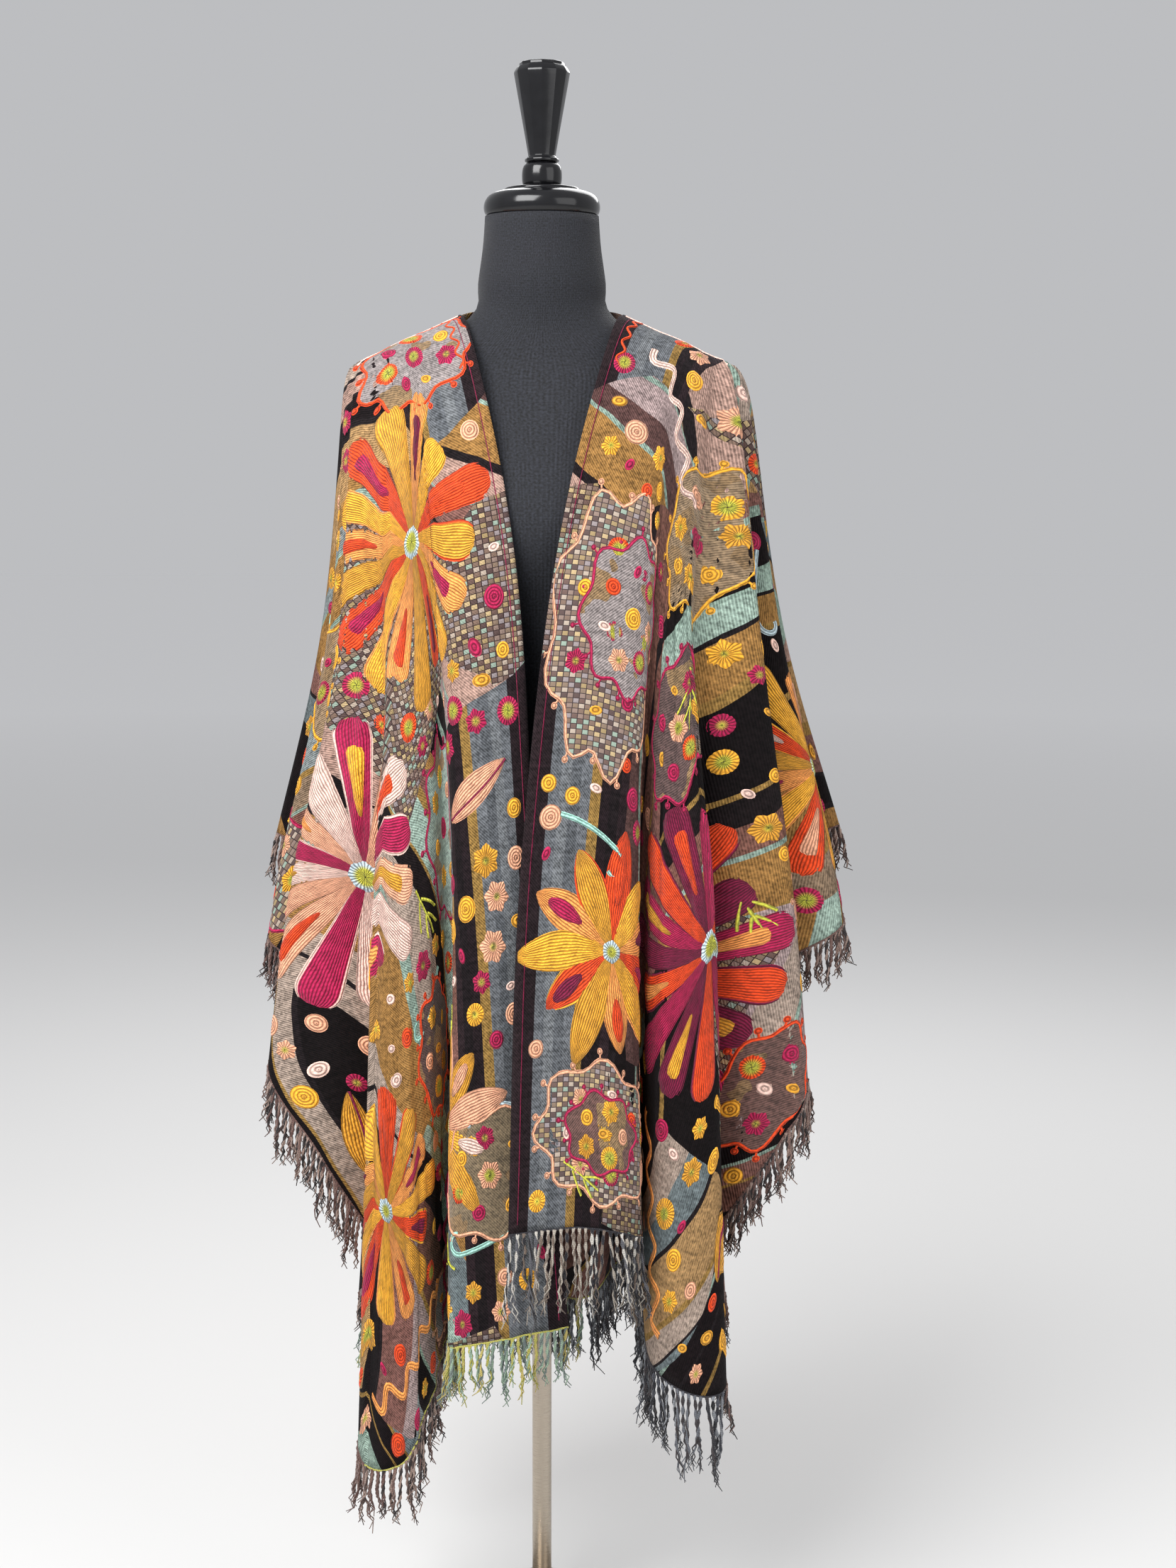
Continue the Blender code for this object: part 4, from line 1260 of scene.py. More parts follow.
def tendril(work, x, y, length, angle, thread, curl):
    """A stem that ends in a curl."""
    s = np.linspace(0, 1, 34)
    heading = angle + curl * (0.5 * s + 4.6 * np.clip(s - 0.55, 0, 1) ** 1.4 * 2.2)
    step = length / len(s) * (1 - 0.45 * s)
    stem = np.column_stack([x + np.cumsum(step * np.cos(heading)),
                            y + np.cumsum(step * np.sin(heading))])
    ribbon(work, stem, TENDRIL_WIDTH, THREADS[thread])
    work.take(stem[14], length * 0.16)


def patch(work, ground, x, y, wide, tall, lobes, turn, thread, kind, shade, layer):
    """Scalloped patch of another weave, edged with a line of stitches and small knots."""
    a = np.linspace(0, 2 * math.pi, PATCH_SIDES + 1)
    swell = 1 + SCALLOP * np.cos(lobes * a + turn) + PATCH_SKEW * np.sin(2 * a + turn)
    outline = np.column_stack([x + wide * swell * np.cos(a), y + tall * swell * np.sin(a)])
    r = np.linspace(0.03, 1, max(6, int(max(wide, tall) / PATCH_STEP)))[:, None]
    gx = x + (outline[:, 0] - x)[None, :] * r
    gy = y + (outline[:, 1] - y)[None, :] * r
    colour = colour_of(PATCH_COLOURS[shade])
    ground.add(gx, gy, PATCH_RISE + PATCH_LAYER * layer, gx, gy, colour, kind)
    ribbon(work, outline, PATCH_LINE, THREADS[thread], layer)
    for px, py in outline[:PATCH_SIDES:KNOT_EVERY]:
        out = math.atan2(py - y, px - x)
        knot = step_from(px, py, out, KNOT_REACH)
        ribbon(work, [step_from(*knot, out, -KNOT_STEM), knot], KNOT_LINE, THREADS[thread])
        disc(work, *step_from(*knot, out, KNOT_LINE), KNOT_RADIUS, ((1.0, thread),))
    work.take((x, y), math.sqrt(wide * tall) * 1.12)


# %% Small motifs
SMALL = (
    ("ring", "orange", "lime"), ("ring", "raspberry", "lime"), ("coil", "marigold", "marigold"),
    ("coil", "raspberry", "raspberry"), ("rose", "peach", "lime"), ("rose", "marigold", "lime"),
    ("oval", "ochre", "ochre"), ("oval", "pink", "pink"), ("coil", "peach", "peach"),
    ("rose", "raspberry", "lime"), ("coil", "orange", "orange"), ("ring", "marigold", "lime"),
    ("coil", "marigold", "marigold"), ("oval", "raspberry", "raspberry"), ("rose", "ochre", "lime"),
)
# radius, share of the inner thread, and how the disc is worked
SMALL_KINDS = {
    "ring": (0.019, 0.36, {"rayed": True}),
    "coil": (0.015, 0.45, {}),
    "rose": (0.018, 0.32, {"lobes": 6, "rayed": True}),
    "oval": (0.008, 1.0, {"stretch": 1.6}),
}


def small_motif(work, x, y, number, size, layer=0):
    kind, outer, inner = SMALL[number % len(SMALL)]
    radius, share, look = SMALL_KINDS[kind]
    turn = {"rose": number, "oval": 1.2 + 0.3 * number}.get(kind, 0.0)
    rings = ((share, inner), (1.0, outer))
    disc(work, x, y, radius * size, rings, layer=layer, turn=turn, **look)


SMALL_SIZES = (0.55, 1.12)
SMALL_ROOM = 0.018
SMALL_GAP = 0.006
SCATTER_MARGIN = 0.02


def scatter(work, tries, seed):
    """Fill the free ground with small motifs, none closer than its own width to another."""
    chance = random.Random(seed)
    low = -HALF_WIDTH if len(work.panel.sides) == 2 else 0.006
    made = 0
    for _ in range(tries):
        x = chance.uniform(low + SCATTER_MARGIN, HALF_WIDTH - SCATTER_MARGIN)
        y = chance.uniform(SCATTER_MARGIN, work.panel.length - SCATTER_MARGIN)
        size = chance.uniform(*SMALL_SIZES)
        if work.free(x, y, SMALL_ROOM * size + SMALL_GAP):
            small_motif(work, x, y, chance.randrange(len(SMALL)), size)
            made += 1
    return made


def inside_patch(work, x, y, wide, tall, number, layer):
    """A few small motifs on a patch."""
    count = 5 if max(wide, tall) < 0.08 else 7
    for k in range(count):
        angle = 2 * math.pi * k / count + number
        px, py = x + wide * 0.60 * math.cos(angle), y + tall * 0.60 * math.sin(angle)
        small_motif(work, px, py, number + 3 * k, 0.85, layer)
    small_motif(work, x, y, number + 1, 1.0, layer)


# %% [markdown]
# ## Where the motifs stand
# One table for each panel, in metres on the flat cloth: across from the centre edge and down from
# the shoulder. The patches are worked first, then flowers, leaves, tendrils, waves and sprigs.
# Small motifs fill what is left of the ground.

# %% Tables of motifs
WARM = ("orange", "marigold", "apricot", "ochre")
BERRY = ("raspberry", "orange", "wine")
SAND = ("ochre", "marigold", "peach")
ROSE = ("peach", "raspberry", "pink")
# across, down, reach, petals, turn, petal threads, inner threads
RIGHT_FLOWERS = (
    (0.195, 0.245, 0.165, 16, 0.1, WARM, BERRY),
    (0.185, 0.900, 0.115, 11, 0.5, SAND, ROSE),
    (0.470, 0.500, 0.165, 16, 0.3, ROSE, WARM),
    (0.520, 0.880, 0.130, 14, 0.7, WARM, BERRY),
)
LEFT_FLOWERS = (
    (0.130, 0.730, 0.125, 11, 0.2, WARM, BERRY),
    (0.440, 0.600, 0.165, 16, 0.8, BERRY, WARM),
    (0.300, 0.930, 0.090, 12, 0.1, SAND, BERRY),
    (0.540, 0.200, 0.120, 14, 0.9, WARM, ROSE),
)
BACK_FLOWERS = (
    (0.020, 0.330, 0.170, 18, 0.2, WARM, BERRY),
    (-0.350, 0.240, 0.145, 15, 0.5, SAND, ROSE),
    (0.390, 0.400, 0.155, 16, 0.8, BERRY, WARM),
    (-0.240, 0.640, 0.160, 16, 0.1, ROSE, WARM),
    (0.150, 0.790, 0.150, 14, 0.6, SAND, BERRY),
    (-0.500, 0.880, 0.155, 16, 0.3, WARM, SAND),
    (0.490, 0.880, 0.155, 15, 0.9, WARM, ROSE),
    (-0.120, 1.070, 0.130, 14, 0.4, BERRY, SAND),
    (0.530, 0.130, 0.120, 13, 0.3, ROSE, BERRY),
    (-0.590, 0.520, 0.105, 12, 0.7, BERRY, WARM),
)
# across, down, length, angle, thread, rib
RIGHT_LEAVES = (
    (0.035, 0.520, 0.110, 0.5, "peach", "wine"), (0.330, 0.640, 0.115, 1.9, "marigold", "orange"),
    (0.060, 0.780, 0.110, 0.9, "ochre", "lime"), (0.370, 1.010, 0.110, 0.2, "peach", "raspberry"),
    (0.030, 1.050, 0.100, -0.4, "marigold", "orange"), (0.620, 0.700, 0.100, 1.2, "ochre", "wine"),
)
LEFT_LEAVES = (
    (0.030, 0.590, 0.100, 0.8, "peach", "orange"), (0.270, 0.700, 0.110, 0.9, "ochre", "lime"),
    (0.600, 0.820, 0.110, 1.4, "ochre", "wine"), (0.030, 0.860, 0.110, 0.2, "ochre", "lime"),
    (0.640, 0.080, 0.100, 1.7, "peach", "orange"),
)
BACK_LEAVES = (
    (-0.150, 0.450, 0.115, 2.3, "ochre", "wine"), (0.220, 0.200, 0.115, -0.4, "marigold", "orange"),
    (-0.030, 0.560, 0.110, 0.7, "ochre", "lime"), (0.330, 0.640, 0.115, 1.2, "peach", "raspberry"),
    (-0.420, 0.430, 0.110, 1.4, "ochre", "lime"), (0.580, 0.640, 0.100, 1.8, "marigold", "wine"),
    (-0.300, 0.880, 0.110, 1.0, "ochre", "lime"), (-0.380, 1.080, 0.110, 0.4, "peach", "orange"),
    (0.010, 0.060, 0.090, 1.2, "marigold", "wine"), (-0.640, 0.180, 0.100, 1.1, "ochre", "lime"),
)
# across, down, length, angle, thread, curl
RIGHT_TENDRILS = (
    (0.320, 0.060, 0.17, 0.4, "aqua", 1), (0.030, 0.900, 0.17, -0.4, "mist", 1),
    (0.300, 0.690, 0.16, 0.8, "aqua", -1), (0.060, 1.020, 0.17, 0.4, "aqua", -1),
)
LEFT_TENDRILS = (
    (0.040, 0.590, 0.18, 0.2, "aqua", 1), (0.310, 0.110, 0.16, 0.8, "mist", -1),
    (0.250, 0.920, 0.16, 0.1, "aqua", 1), (0.190, 0.680, 0.15, -0.6, "aqua", 1),
)
BACK_TENDRILS = (
    (-0.190, 0.100, 0.19, 0.7, "aqua", 1), (0.200, 0.560, 0.18, 0.2, "mist", -1),
    (-0.060, 0.860, 0.18, 0.9, "aqua", 1), (-0.420, 0.700, 0.17, 2.7, "aqua", -1),
    (0.360, 1.020, 0.16, 2.2, "mist", 1),
)
# across, down, length, angle, thread
RIGHT_WAVES = ((0.400, 1.040, 0.24, 0.15, "apricot"), (0.300, 0.930, 0.20, 1.2, "raspberry"))
LEFT_WAVES = ((0.400, 0.800, 0.24, 1.0, "apricot"), (0.060, 0.060, 0.20, 0.7, "pink"))
BACK_WAVES = ((-0.060, 0.590, 0.26, 1.2, "apricot"), (0.250, 1.130, 0.34, 0.05, "raspberry"),
              (-0.560, 1.120, 0.26, -0.1, "marigold"), (-0.160, 0.040, 0.30, 0.1, "orange"))
# across, down, length, angle, thread
RIGHT_SPRIGS = ((0.330, 0.580, 0.075, 1.9, "lime"), (0.160, 0.760, 0.075, 1.2, "lime"),
                (0.150, 1.060, 0.070, -0.5, "lime"))
LEFT_SPRIGS = ((0.300, 0.330, 0.075, 1.3, "lime"), (0.070, 0.960, 0.070, 0.5, "lime"),
               (0.480, 0.470, 0.070, 0.5, "lime"))
BACK_SPRIGS = ((0.270, 0.960, 0.080, 1.7, "lime"), (-0.430, 0.620, 0.075, 2.2, "lime"),
               (0.180, 0.060, 0.075, 0.9, "lime"), (0.620, 0.300, 0.070, 1.8, "lime"))
# across, down, half width, half height, lobes, turn, thread, weave, shade
RIGHT_PATCHES = (
    (0.080, 0.060, 0.080, 0.060, 8, 0.4, "orange", 0, 0),
    (0.420, 0.220, 0.060, 0.085, 7, 0.4, "marigold", 0, 4),
    (0.220, 0.560, 0.065, 0.095, 8, 0.1, "raspberry", 0, 3),
    (0.095, 0.960, 0.080, 0.070, 7, 0.7, "peach", 0, 1),
    (0.620, 0.300, 0.055, 0.095, 8, 0.2, "raspberry", 1, 2),
    (0.330, 0.780, 0.055, 0.075, 7, 0.5, "orange", 0, 5),
    (0.340, 1.080, 0.090, 0.045, 8, 0.5, "peach", 0, 0),
)
LEFT_PATCHES = (
    (0.088, 0.390, 0.080, 0.150, 9, 0.3, "peach", 1, 3),
    (0.110, 0.370, 0.062, 0.085, 8, 0.9, "raspberry", 0, 0),
    (0.240, 0.200, 0.055, 0.090, 7, 0.8, "marigold", 0, 4),
    (0.300, 0.400, 0.048, 0.080, 7, 0.3, "raspberry", 0, 5),
    (0.135, 0.930, 0.095, 0.075, 8, 0.2, "peach", 1, 5),
    (0.135, 0.930, 0.055, 0.045, 7, 0.9, "raspberry", 0, 2),
    (0.640, 0.640, 0.045, 0.070, 7, 0.5, "orange", 0, 2),
    (0.600, 0.420, 0.060, 0.060, 8, 0.1, "peach", 0, 0),
)
BACK_PATCHES = (
    (-0.175, 0.170, 0.085, 0.075, 8, 0.4, "peach", 0, 0),
    (0.200, 0.570, 0.070, 0.070, 7, 0.1, "raspberry", 1, 3),
    (-0.420, 0.610, 0.065, 0.090, 8, 0.6, "marigold", 0, 1),
    (-0.050, 0.920, 0.075, 0.060, 8, 0.2, "orange", 0, 4),
    (0.630, 0.520, 0.045, 0.090, 7, 0.5, "peach", 0, 5),
    (-0.300, 1.150, 0.090, 0.035, 8, 0.3, "raspberry", 0, 2),
    (0.320, 0.200, 0.055, 0.065, 8, 0.7, "marigold", 0, 1),
)
DESIGNS = {
    "right_front": (RIGHT_FLOWERS, RIGHT_LEAVES, RIGHT_TENDRILS, RIGHT_WAVES, RIGHT_SPRIGS,
                    RIGHT_PATCHES, 5000, 11),
    "left_front": (LEFT_FLOWERS, LEFT_LEAVES, LEFT_TENDRILS, LEFT_WAVES, LEFT_SPRIGS,
                   LEFT_PATCHES, 5000, 12),
    "back": (BACK_FLOWERS, BACK_LEAVES, BACK_TENDRILS, BACK_WAVES, BACK_SPRIGS,
             BACK_PATCHES, 6000, 13),
}

# %% Work the embroidery
FACING_STITCH = 0.013
FACING_WIDTH = 0.0016
ZIGZAG_PLACE = 0.022
ZIGZAG_BOW = 0.004
ZIGZAG_PITCH = 0.024
ZIGZAG_WIDTH = 0.0045
SHOULDER_PLACE = 0.005
SHOULDER_WIDTH = 0.0032


def edge_lines(work, length):
    """A line of stitches down the facing, a zigzag at its top and a line along the shoulder."""
    down = np.linspace(0.01, length - 0.01, 240)
    ribbon(work, np.column_stack([0 * down + FACING_STITCH, down]), FACING_WIDTH, THREADS["wine"])
    down = np.linspace(0.004, 0.10, 40)
    zigzag = ZIGZAG_PLACE + ZIGZAG_BOW * np.sin(down * 2 * math.pi / ZIGZAG_PITCH)
    ribbon(work, np.column_stack([zigzag, down]), ZIGZAG_WIDTH, THREADS["orange"])
    across = np.linspace(0.004, RIDGE_LENGTH, 40)
    line = np.column_stack([across, 0 * across + SHOULDER_PLACE])
    ribbon(work, line, SHOULDER_WIDTH, THREADS["pink"])


def embroider(panel):
    """Draw all the motifs of a panel and lay them on it, in two pieces."""
    work = Needlework(panel)
    ground = Needlework(panel)
    flowers, leaves, tendrils, waves, sprigs, patches, tries, seed = DESIGNS[panel.name]
    for number, row in enumerate(patches):
        patch(work, ground, *row, number % 2)
        inside_patch(work, *row[:4], number, number % 2)
    for row in flowers:
        flower(work, *row)
    for row in leaves:
        x, y, length, angle = row[:4]
        if work.free(*step_from(x, y, angle, length / 2), 0.02):
            leaf(work, *row)
    for motif, rows in ((tendril, tendrils), (wave, waves), (sprig, sprigs)):
        for row in rows:
            motif(work, *row)
    made = scatter(work, tries, seed)
    if len(panel.sides) == 1:
        edge_lines(work, panel.length)
    pieces = [work.build(panel.name + "_embroidery", [THREAD_WOOL]),
              ground.build(panel.name + "_patches", PATCH_MATERIALS)]
    print(panel.name, "small motifs:", made, "faces:", [len(p.data.polygons) for p in pieces])
    return pieces


NEEDLEWORK = {name: embroider(panel) for name, panel in PANELS.items()}

# %% [markdown]
# ## Fringe
# The ends of the threads are left long, in small twisted bundles. Each bundle is four yarns wound
# round each other, open at the tip. A rolled cord runs along the edge that they hang from.

# %% Yarn material
YARN_TWIST = 2600.0


def make_yarn_material():
    material, tree, shader = new_material("fringe wool", 0.85, sheen=0.3)
    thread = add(tree, "VertexColor", layer_name="thread")
    along, turn, _ = add(tree, "UVMap", uv_map="stitch").parts()
    # The twist is painted into the colour too: each yarn darker in the grooves between its plies,
    # as painted shade.
    ply = (along * YARN_TWIST + turn).calc("SINE") * 0.16 + 0.9
    surface(shader, thread.vector("SCALE", scale=ply), ply, 0.0006)
    return material


YARN = make_yarn_material()

# %% Bundles of yarn
BUNDLE_SPACING = 0.0066
BUNDLE_YARNS = 4
YARN_RADIUS = 0.0012
YARN_RINGS = 9
CORD_RADIUS = 0.0014
CORD_STEP = 0.006
TWIST_PITCH = 0.022
YARN_SIDES = 4
CORD_SIDES = 6
FIRST_SEED = 40
# how far a bundle leans, keeps the cloth's way and drops, and the ranges its shape is drawn from
LEAN = 0.22
ROOT_WAY = 0.8
ROOT_DROP = 0.2
TIP_WAY = 0.35
KINKS = (0.0015, 0.0042)
KINK_BEATS = (0.8, 1.9)
OPENINGS = (2.5, 7.0)
OPENS_FROM = 0.45
SHORTENING = (0.82, 1.0)
THINNING = 0.62
SIDE_YARNS = ("6a4e48", "7d625a", "8f766c", "4b3934", "a18a7f", "2f2727")
GREEN_YARNS = ("b9b45a", "9fb8a0", "7f8c86", "8aa08c", "6e7a78", "c7b76c")
DARK_YARNS = ("24242a", "4a4c54", "8a8d92", "1b1a1e", "6a6d74", "3a3436")
PALE_YARNS = ("26242a", "c9c4bb", "5a5a60", "1c1b20", "b3a99c", "7a6a5e")
# name, first and last place across, shortest, longest, yarns at the start, at the end
FRINGES = (
    ("right_front_hem_fringe", 0, HALF_WIDTH, 0.050, 0.076, GREEN_YARNS, SIDE_YARNS),
    ("right_front_side_fringe", HALF_WIDTH, ACROSS, 0.048, 0.078, SIDE_YARNS, SIDE_YARNS),
    ("left_front_hem_fringe", 0, HALF_WIDTH, 0.076, 0.112, PALE_YARNS, DARK_YARNS),
    ("left_front_side_fringe", HALF_WIDTH, ACROSS, 0.042, 0.064, SIDE_YARNS, SIDE_YARNS),
    ("back_right_side_fringe", -ACROSS, -HALF_WIDTH, 0.042, 0.064, SIDE_YARNS, SIDE_YARNS),
    ("back_hem_fringe", -HALF_WIDTH, HALF_WIDTH, 0.062, 0.098, GREEN_YARNS, DARK_YARNS),
    ("back_left_side_fringe", HALF_WIDTH, ACROSS, 0.042, 0.064, SIDE_YARNS, SIDE_YARNS),
)


class Tubes:
    """Many thin tubes gathered into one mesh with a colour for each point."""

    def __init__(self):
        self.points = []
        self.faces = []
        self.colours = []
        self.places = []

    def add(self, path, radii, colour, sides):
        way = unit(np.gradient(path, axis=0))
        helper = np.array([0.0, 1.0, 0.0]) if abs(way[0][1]) < 0.9 else np.array([1.0, 0.0, 0.0])
        across = unit(np.cross(way, helper))[:, None]
        up = np.cross(across, way[:, None])
        angle = 2 * math.pi * np.arange(sides)[:, None] / sides
        reach = across * np.cos(angle) + up * np.sin(angle)
        ring = len(self.points) + np.arange(len(path) * sides).reshape(-1, sides)
        beside = np.roll(ring, -1, axis=1)
        quads = np.stack([ring[:-1], beside[:-1], beside[1:], ring[1:]], axis=-1)
        self.faces += quads.reshape(-1, 4).tolist() + [ring[0, ::-1].tolist(), ring[-1].tolist()]
        self.points += (path[:, None] + reach * radii[:, None, None]).reshape(-1, 3).tolist()
        run = np.repeat(run_along(path), sides)
        self.places += np.column_stack([run, np.tile(angle[:, 0], len(path))]).tolist()
        self.colours += [colour] * ring.size


def add_bundle(tubes, root, way, length, chance, colours):
    """Yarns wound together that part towards their tips, with a kink where they were bent."""
    s = np.linspace(0, 1, YARN_RINGS)[:, None]
    lean = np.array([chance.uniform(-1, 1), chance.uniform(-1, 1), 0.0]) * LEAN
    start = unit(way * ROOT_WAY + np.array([0, 0, -ROOT_DROP]) + lean * 0.5)
    end = unit(np.array([0.0, 0.0, -1.0]) + lean + way * TIP_WAY)
    middle = root + length * (start * s * (1 - s / 2) + end * s ** 2 / 2)
    across = unit(np.cross(start, np.array([0.3, 1.0, 0.2])))
    other = np.cross(start, across)
    kink = chance.uniform(*KINKS)
    beat = chance.uniform(*KINK_BEATS)
    start_turn = chance.uniform(0, 6)
    middle = middle + across * kink * s * np.sin(beat * 2 * math.pi * s + start_turn)
    for strand, colour in enumerate(colours):
        turn = 2 * math.pi * (strand / len(colours) + s * length / TWIST_PITCH) + chance.random()
        opening = chance.uniform(*OPENINGS) * np.clip(s - OPENS_FROM, 0, 1) ** 1.3
        spread = YARN_RADIUS * (1.3 + opening)
        path = middle + across * np.cos(turn) * spread + other * np.sin(turn) * spread
        path = root + (path - root) * chance.uniform(*SHORTENING)
        radii = YARN_RADIUS * (1 - THINNING * s[:, 0] ** 2)
        tubes.add(path, radii, colour, YARN_SIDES)


def panel_of(name):
    """The panel whose name a fringe's name starts with."""
    return next(panel for panel in PANELS.values() if name.startswith(panel.name))


def make_fringe(number, name, first, last, short, long, begin_yarns, end_yarns):
    """Bundles all along one edge of a panel, under a rolled cord."""
    panel = panel_of(name)
    chance = random.Random(FIRST_SEED + number)
    columns = panel.centre + np.array([first, last]) / ACROSS * panel.half
    low, high = int(round(columns[0])), int(round(columns[1]))
    edge = slice(low, high + 1)
    hem = panel.grid[-1, edge] + panel.normals[-1, edge] * (CLOTH_FACE - SHELL / 2)
    fall = unit(panel.grid[-1] - panel.grid[-4])[edge]
    run = run_along(hem)
    tubes = Tubes()
    cord = read_along(hem, run, np.linspace(0, run[-1], int(run[-1] / CORD_STEP) + 2))
    tubes.add(cord, np.full(len(cord), CORD_RADIUS), colour_of(begin_yarns[0]), CORD_SIDES)
    count = int(run[-1] / BUNDLE_SPACING)
    for k in range(count):
        place = run[-1] * (k + 0.5) / count
        root = read_along(hem, run, place)
        way = unit(read_along(fall, run, place))
        share = place / run[-1] + chance.uniform(-0.15, 0.15)
        yarns = begin_yarns if share < 0.5 else end_yarns
        pick = chance.randrange(len(yarns))
        colours = [colour_of(yarns[(pick + (strand > 1)) % len(yarns)])
                   for strand in range(BUNDLE_YARNS)]
        add_bundle(tubes, root, way, chance.uniform(short, long), chance, colours)
    piece = mesh_piece(name + "_yarns", tubes.points, tubes.faces, "stitch", tubes.places,
                       tubes.colours, [YARN])
    make_active(piece)
    bpy.ops.object.mode_set(mode="EDIT")
    turn_outwards(piece)
    return belong(piece, name)


YARNS = {row[0]: make_fringe(number, *row) for number, row in enumerate(FRINGES)}
print("yarn faces:", sum(len(piece.data.polygons) for piece in YARNS.values()))

# %% [markdown]
# ## Dress form and stand
# The form wears black ribbed jersey. A lacquered cap, a flat bead and a tapering finial
# with soft facets close its neck, and a brushed steel pole carries it from a round base.

# %% Jersey form
FORM_SIDES = 128
FORM_ROWS = 90
RIB_COUNT = 260
KNIT_PITCH = 0.0018
STREAKS = (520.0, 30.0, 1.0)


def make_jersey():
    material, tree, shader = new_material("black ribbed jersey", 0.85, sheen=0.12)
    place = add(tree, "UVMap", uv_map="ribs")
    across, up, _ = place.parts()
    rib = (across * (2 * math.pi * RIB_COUNT)).calc("COSINE") * 0.5 + 0.5
    knit = (up * (2 * math.pi / KNIT_PITCH)).calc("SINE")
    fine = rib + knit * 0.25
    pile = noise(stretched(place, STREAKS), 1.0, 3.0) * 0.7 + noise(place, 420.0) * 2.3 - 1.1
    # The ribs and knit rows are painted lighter on their crests and darker in their grooves, as
    # painted shade; the streaks and pile are the jersey's own uneven tone.
    shade = (fine * 0.16 + pile).between(0.0, 1.0)
    surface(shader, blend(shade, colour_of("0b0b0e"), colour_of("2a2c34")), fine, 0.0002)
    return material


def make_form():
    table = np.array(FORM_SECTIONS)
    heights = np.linspace(table[0, 0], table[-1, 0], FORM_ROWS)
    width, depth, middle, square = (value[:, None] for value in form_section(heights))
    angle = np.linspace(0, 2 * math.pi, FORM_SIDES + 1)[None, :]
    c, s = np.cos(angle), np.sin(angle)
    x = (width + FILL) * np.sign(c) * np.abs(c) ** (2 / square)
    y = middle + (depth + FILL) * np.sign(s) * np.abs(s) ** (2 / square)
    up = heights[:, None] + 0 * x
    points = np.stack([x, y, heights[:, None] + LIFT + 0 * x], axis=-1)
    outward = np.stack([c + 0 * x, s + 0 * x, 0 * x], axis=-1)
    piece = grid_piece("jersey_form", points, outward, "ribs", angle / (2 * math.pi) + 0 * x, up)
    make_active(piece)
    bpy.ops.object.mode_set(mode="EDIT")
    bpy.ops.mesh.select_all(action="SELECT")
    bpy.ops.mesh.remove_doubles(threshold=0.00002)
    bpy.ops.mesh.select_all(action="DESELECT")
    bpy.ops.mesh.select_mode(type="EDGE")
    bpy.ops.mesh.select_non_manifold()
    bpy.ops.mesh.fill_holes(sides=0)
    turn_outwards(piece)
    piece.data.materials.append(make_jersey())
    belong(piece, "torso_form")


make_form()

# %% Lacquer and steel


def make_lacquer():
    material, tree, shader = new_material("black lacquer", 0.16)
    wear = noise(add(tree, "TexCoord").out("Object"), 60.0, 4.0)
    colour = blend(wear, colour_of("08080a"), colour_of("17171a"))
    surface(shader, colour, wear, 0.0002, 0.4, roughness=wear * 0.12 + 0.1)
    return material


def make_steel(name, stretch):
    material, tree, shader = new_material(name, 0.3, metallic=1.0)
    brushed = noise(stretched(add(tree, "TexCoord").out("Object"), stretch), 1.0, 5.0)
    colour = blend(brushed, colour_of("978c80"), colour_of("cdc1b0"))
    surface(shader, colour, brushed, 0.0001, 0.5, roughness=brushed * 0.25 + 0.18)
    return material


LACQUER = make_lacquer()
POLE_STEEL = make_steel("drawn steel", (90.0, 90.0, 2500.0))
BASE_STEEL = make_steel("spun steel", (400.0, 400.0, 400.0))

# %% Turned pieces
NECK_Y = 0.006
FINIAL_FACETS = 12
SOFT_EDGE = 0.0006
SHARP_FROM = 24


def turned(name, node, profile, y, sides, material):
    """Disc drawn up into a turned piece: each step lifts its top and sets its radius."""
    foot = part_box(node)[0][2]
    radius, height = profile[0]
    bpy.ops.mesh.primitive_circle_add(vertices=sides, radius=radius, fill_type="NGON",
                                      location=(0, y, foot + height))
    piece = bpy.context.object
    piece.name = name
    bpy.ops.object.transform_apply(location=True)
    bpy.ops.object.mode_set(mode="EDIT")
    bpy.ops.mesh.select_all(action="SELECT")
    for next_radius, next_height in profile[1:]:
        lift = {"value": (0, 0, next_height - height)}
        bpy.ops.mesh.extrude_region_move(TRANSFORM_OT_translate=lift)
        scale = next_radius / radius
        bpy.ops.transform.resize(value=(scale, scale, 1))
        radius, height = next_radius, next_height
    turn_outwards(piece)
    soft = piece.modifiers.new("soft", "BEVEL")
    soft.width = SOFT_EDGE
    soft.segments = 2
    soft.limit_method = "ANGLE"
    soft.angle_limit = math.radians(SHARP_FROM)
    apply_modifiers(piece)
    piece.data.shade_smooth()
    piece.data.materials.append(material)
    belong(piece, node)


def rounded(points, per_span=4):
    """More rings along a profile, so that its curves are round."""
    run = np.arange(len(points))
    at = np.linspace(0, len(points) - 1, (len(points) - 1) * per_span + 1)
    return [tuple(row) for row in smooth_curve(run, np.array(points, float), at)]


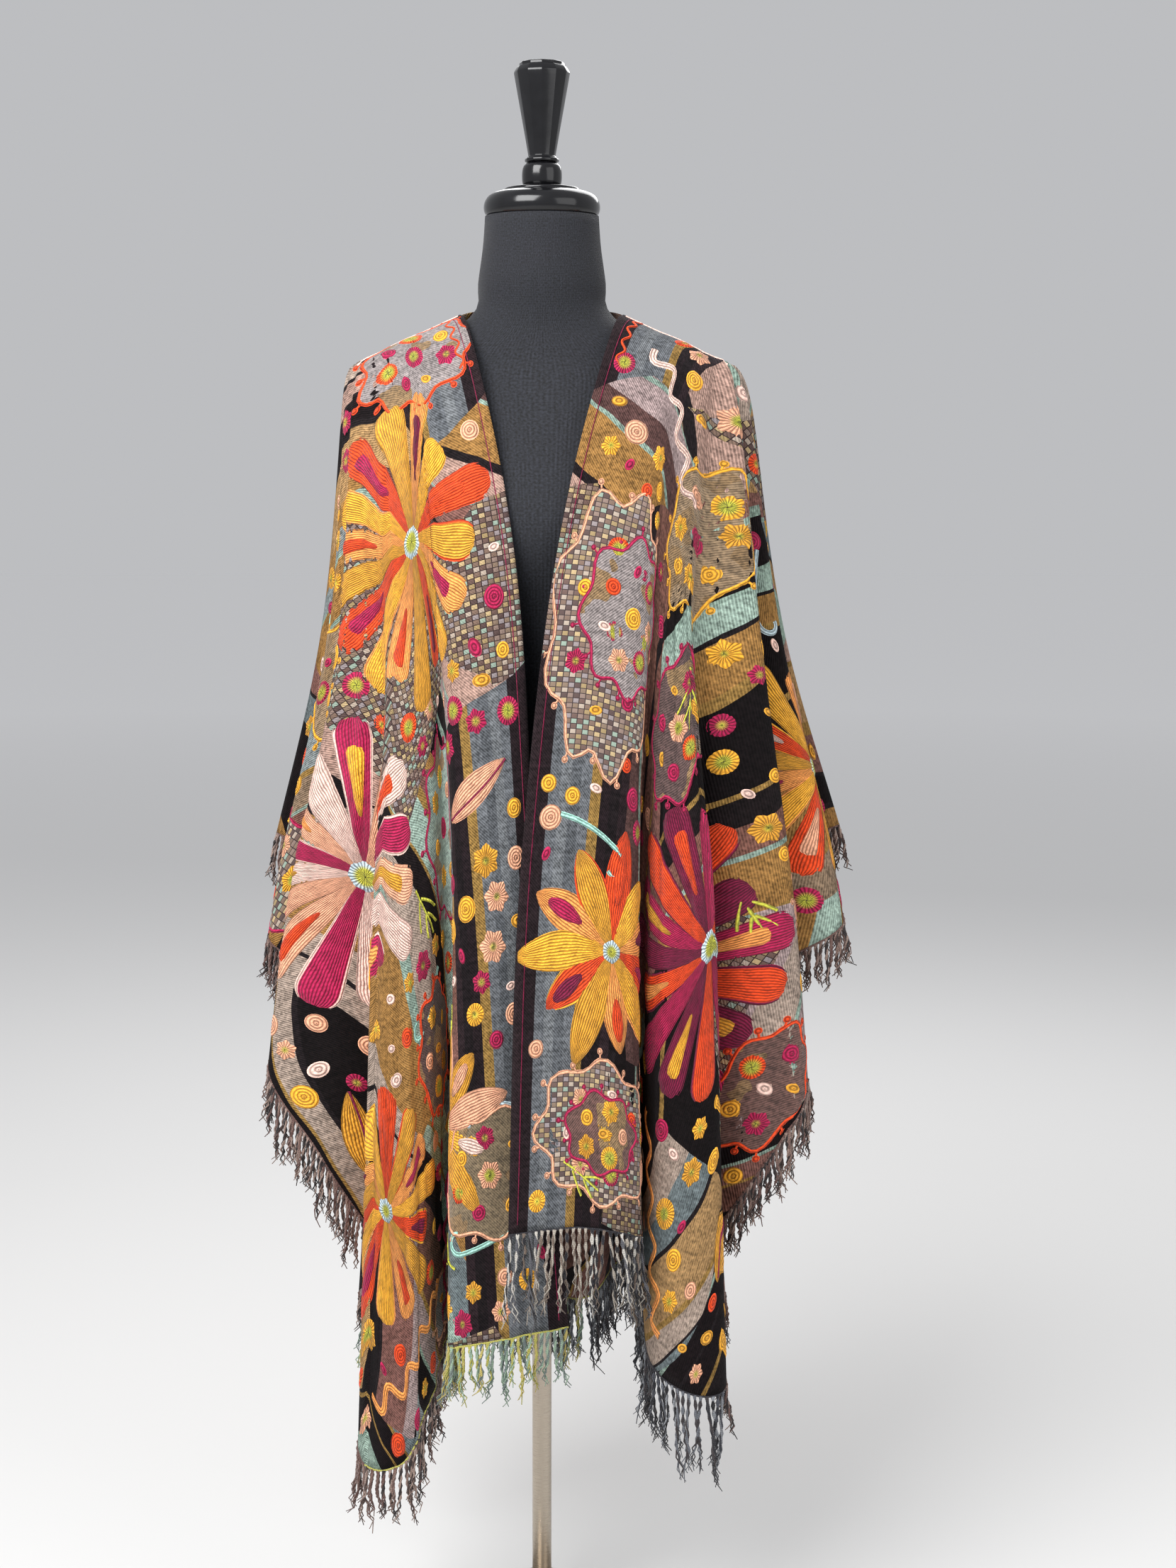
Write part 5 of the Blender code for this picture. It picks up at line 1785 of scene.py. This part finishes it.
CAP = rounded((
    (0.0592, 0.0), (0.0620, 0.0040), (0.0628, 0.0100), (0.0613, 0.0160), (0.0573, 0.0213),
    (0.0500, 0.0248), (0.0425, 0.0262),
)) + [(0.0412, 0.0264), (0.0408, 0.0270), (0.0404, 0.0286), (0.0392, 0.0296), (0.0020, 0.0299)]
BEAD = rounded((
    (0.0163, 0.0), (0.0203, 0.0028), (0.0215, 0.0090), (0.0213, 0.0170), (0.0198, 0.0223),
    (0.0172, 0.0250),
)) + [(0.0168, 0.0257), (0.0020, 0.0259)]
FINIAL = [(0.0170, 0.0), (0.0184, 0.0010), (0.0185, 0.0030), (0.0178, 0.0042), (0.0162, 0.0047),
          (0.0160, 0.0056), (0.0148, 0.0066), (0.0151, 0.0090), (0.0186, 0.0290), (0.0222, 0.0490),
          (0.0258, 0.0690), (0.0292, 0.0880), (0.0300, 0.0926), (0.0299, 0.0944), (0.0286, 0.0968),
          (0.0262, 0.1000), (0.0244, 0.1010), (0.0242, 0.1034), (0.0232, 0.1045), (0.0020, 0.1048)]
turned("lacquered_cap", "neck_cap", CAP, NECK_Y, 96, LACQUER)
turned("lacquered_bead", "finial_bead", BEAD, NECK_Y, 72, LACQUER)
turned("lacquered_finial", "finial", FINIAL, NECK_Y, FINIAL_FACETS, LACQUER)

# %% Pole and base
BASE = ((0.1255, 0.0), (0.1270, 0.0016), (0.1270, 0.0040), (0.1262, 0.0052), (0.1240, 0.0058),
        (0.1210, 0.0060), (0.0235, 0.0120), (0.0205, 0.0128), (0.0192, 0.0150), (0.0190, 0.0560),
        (0.0186, 0.0590), (0.0174, 0.0600), (0.0020, 0.0600))
POLE_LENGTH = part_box("pole")[1][2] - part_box("pole")[0][2]
POLE = ((0.0110, 0.0), (0.0110, POLE_LENGTH * 0.34), (0.0110, POLE_LENGTH * 0.67),
        (0.0110, POLE_LENGTH))
turned("spun_base", "base", BASE, 0.0, 128, BASE_STEEL)
turned("drawn_pole", "pole", POLE, 0.0, 48, POLE_STEEL)

# %% [markdown]
# Each panel's cloth is taken with its embroidery, patches and fringe yarns.

# %% Trims of each panel
for name, piece in CLOTHS.items():
    trims = NEEDLEWORK[name] + [yarns for node, yarns in YARNS.items() if node.startswith(name)]
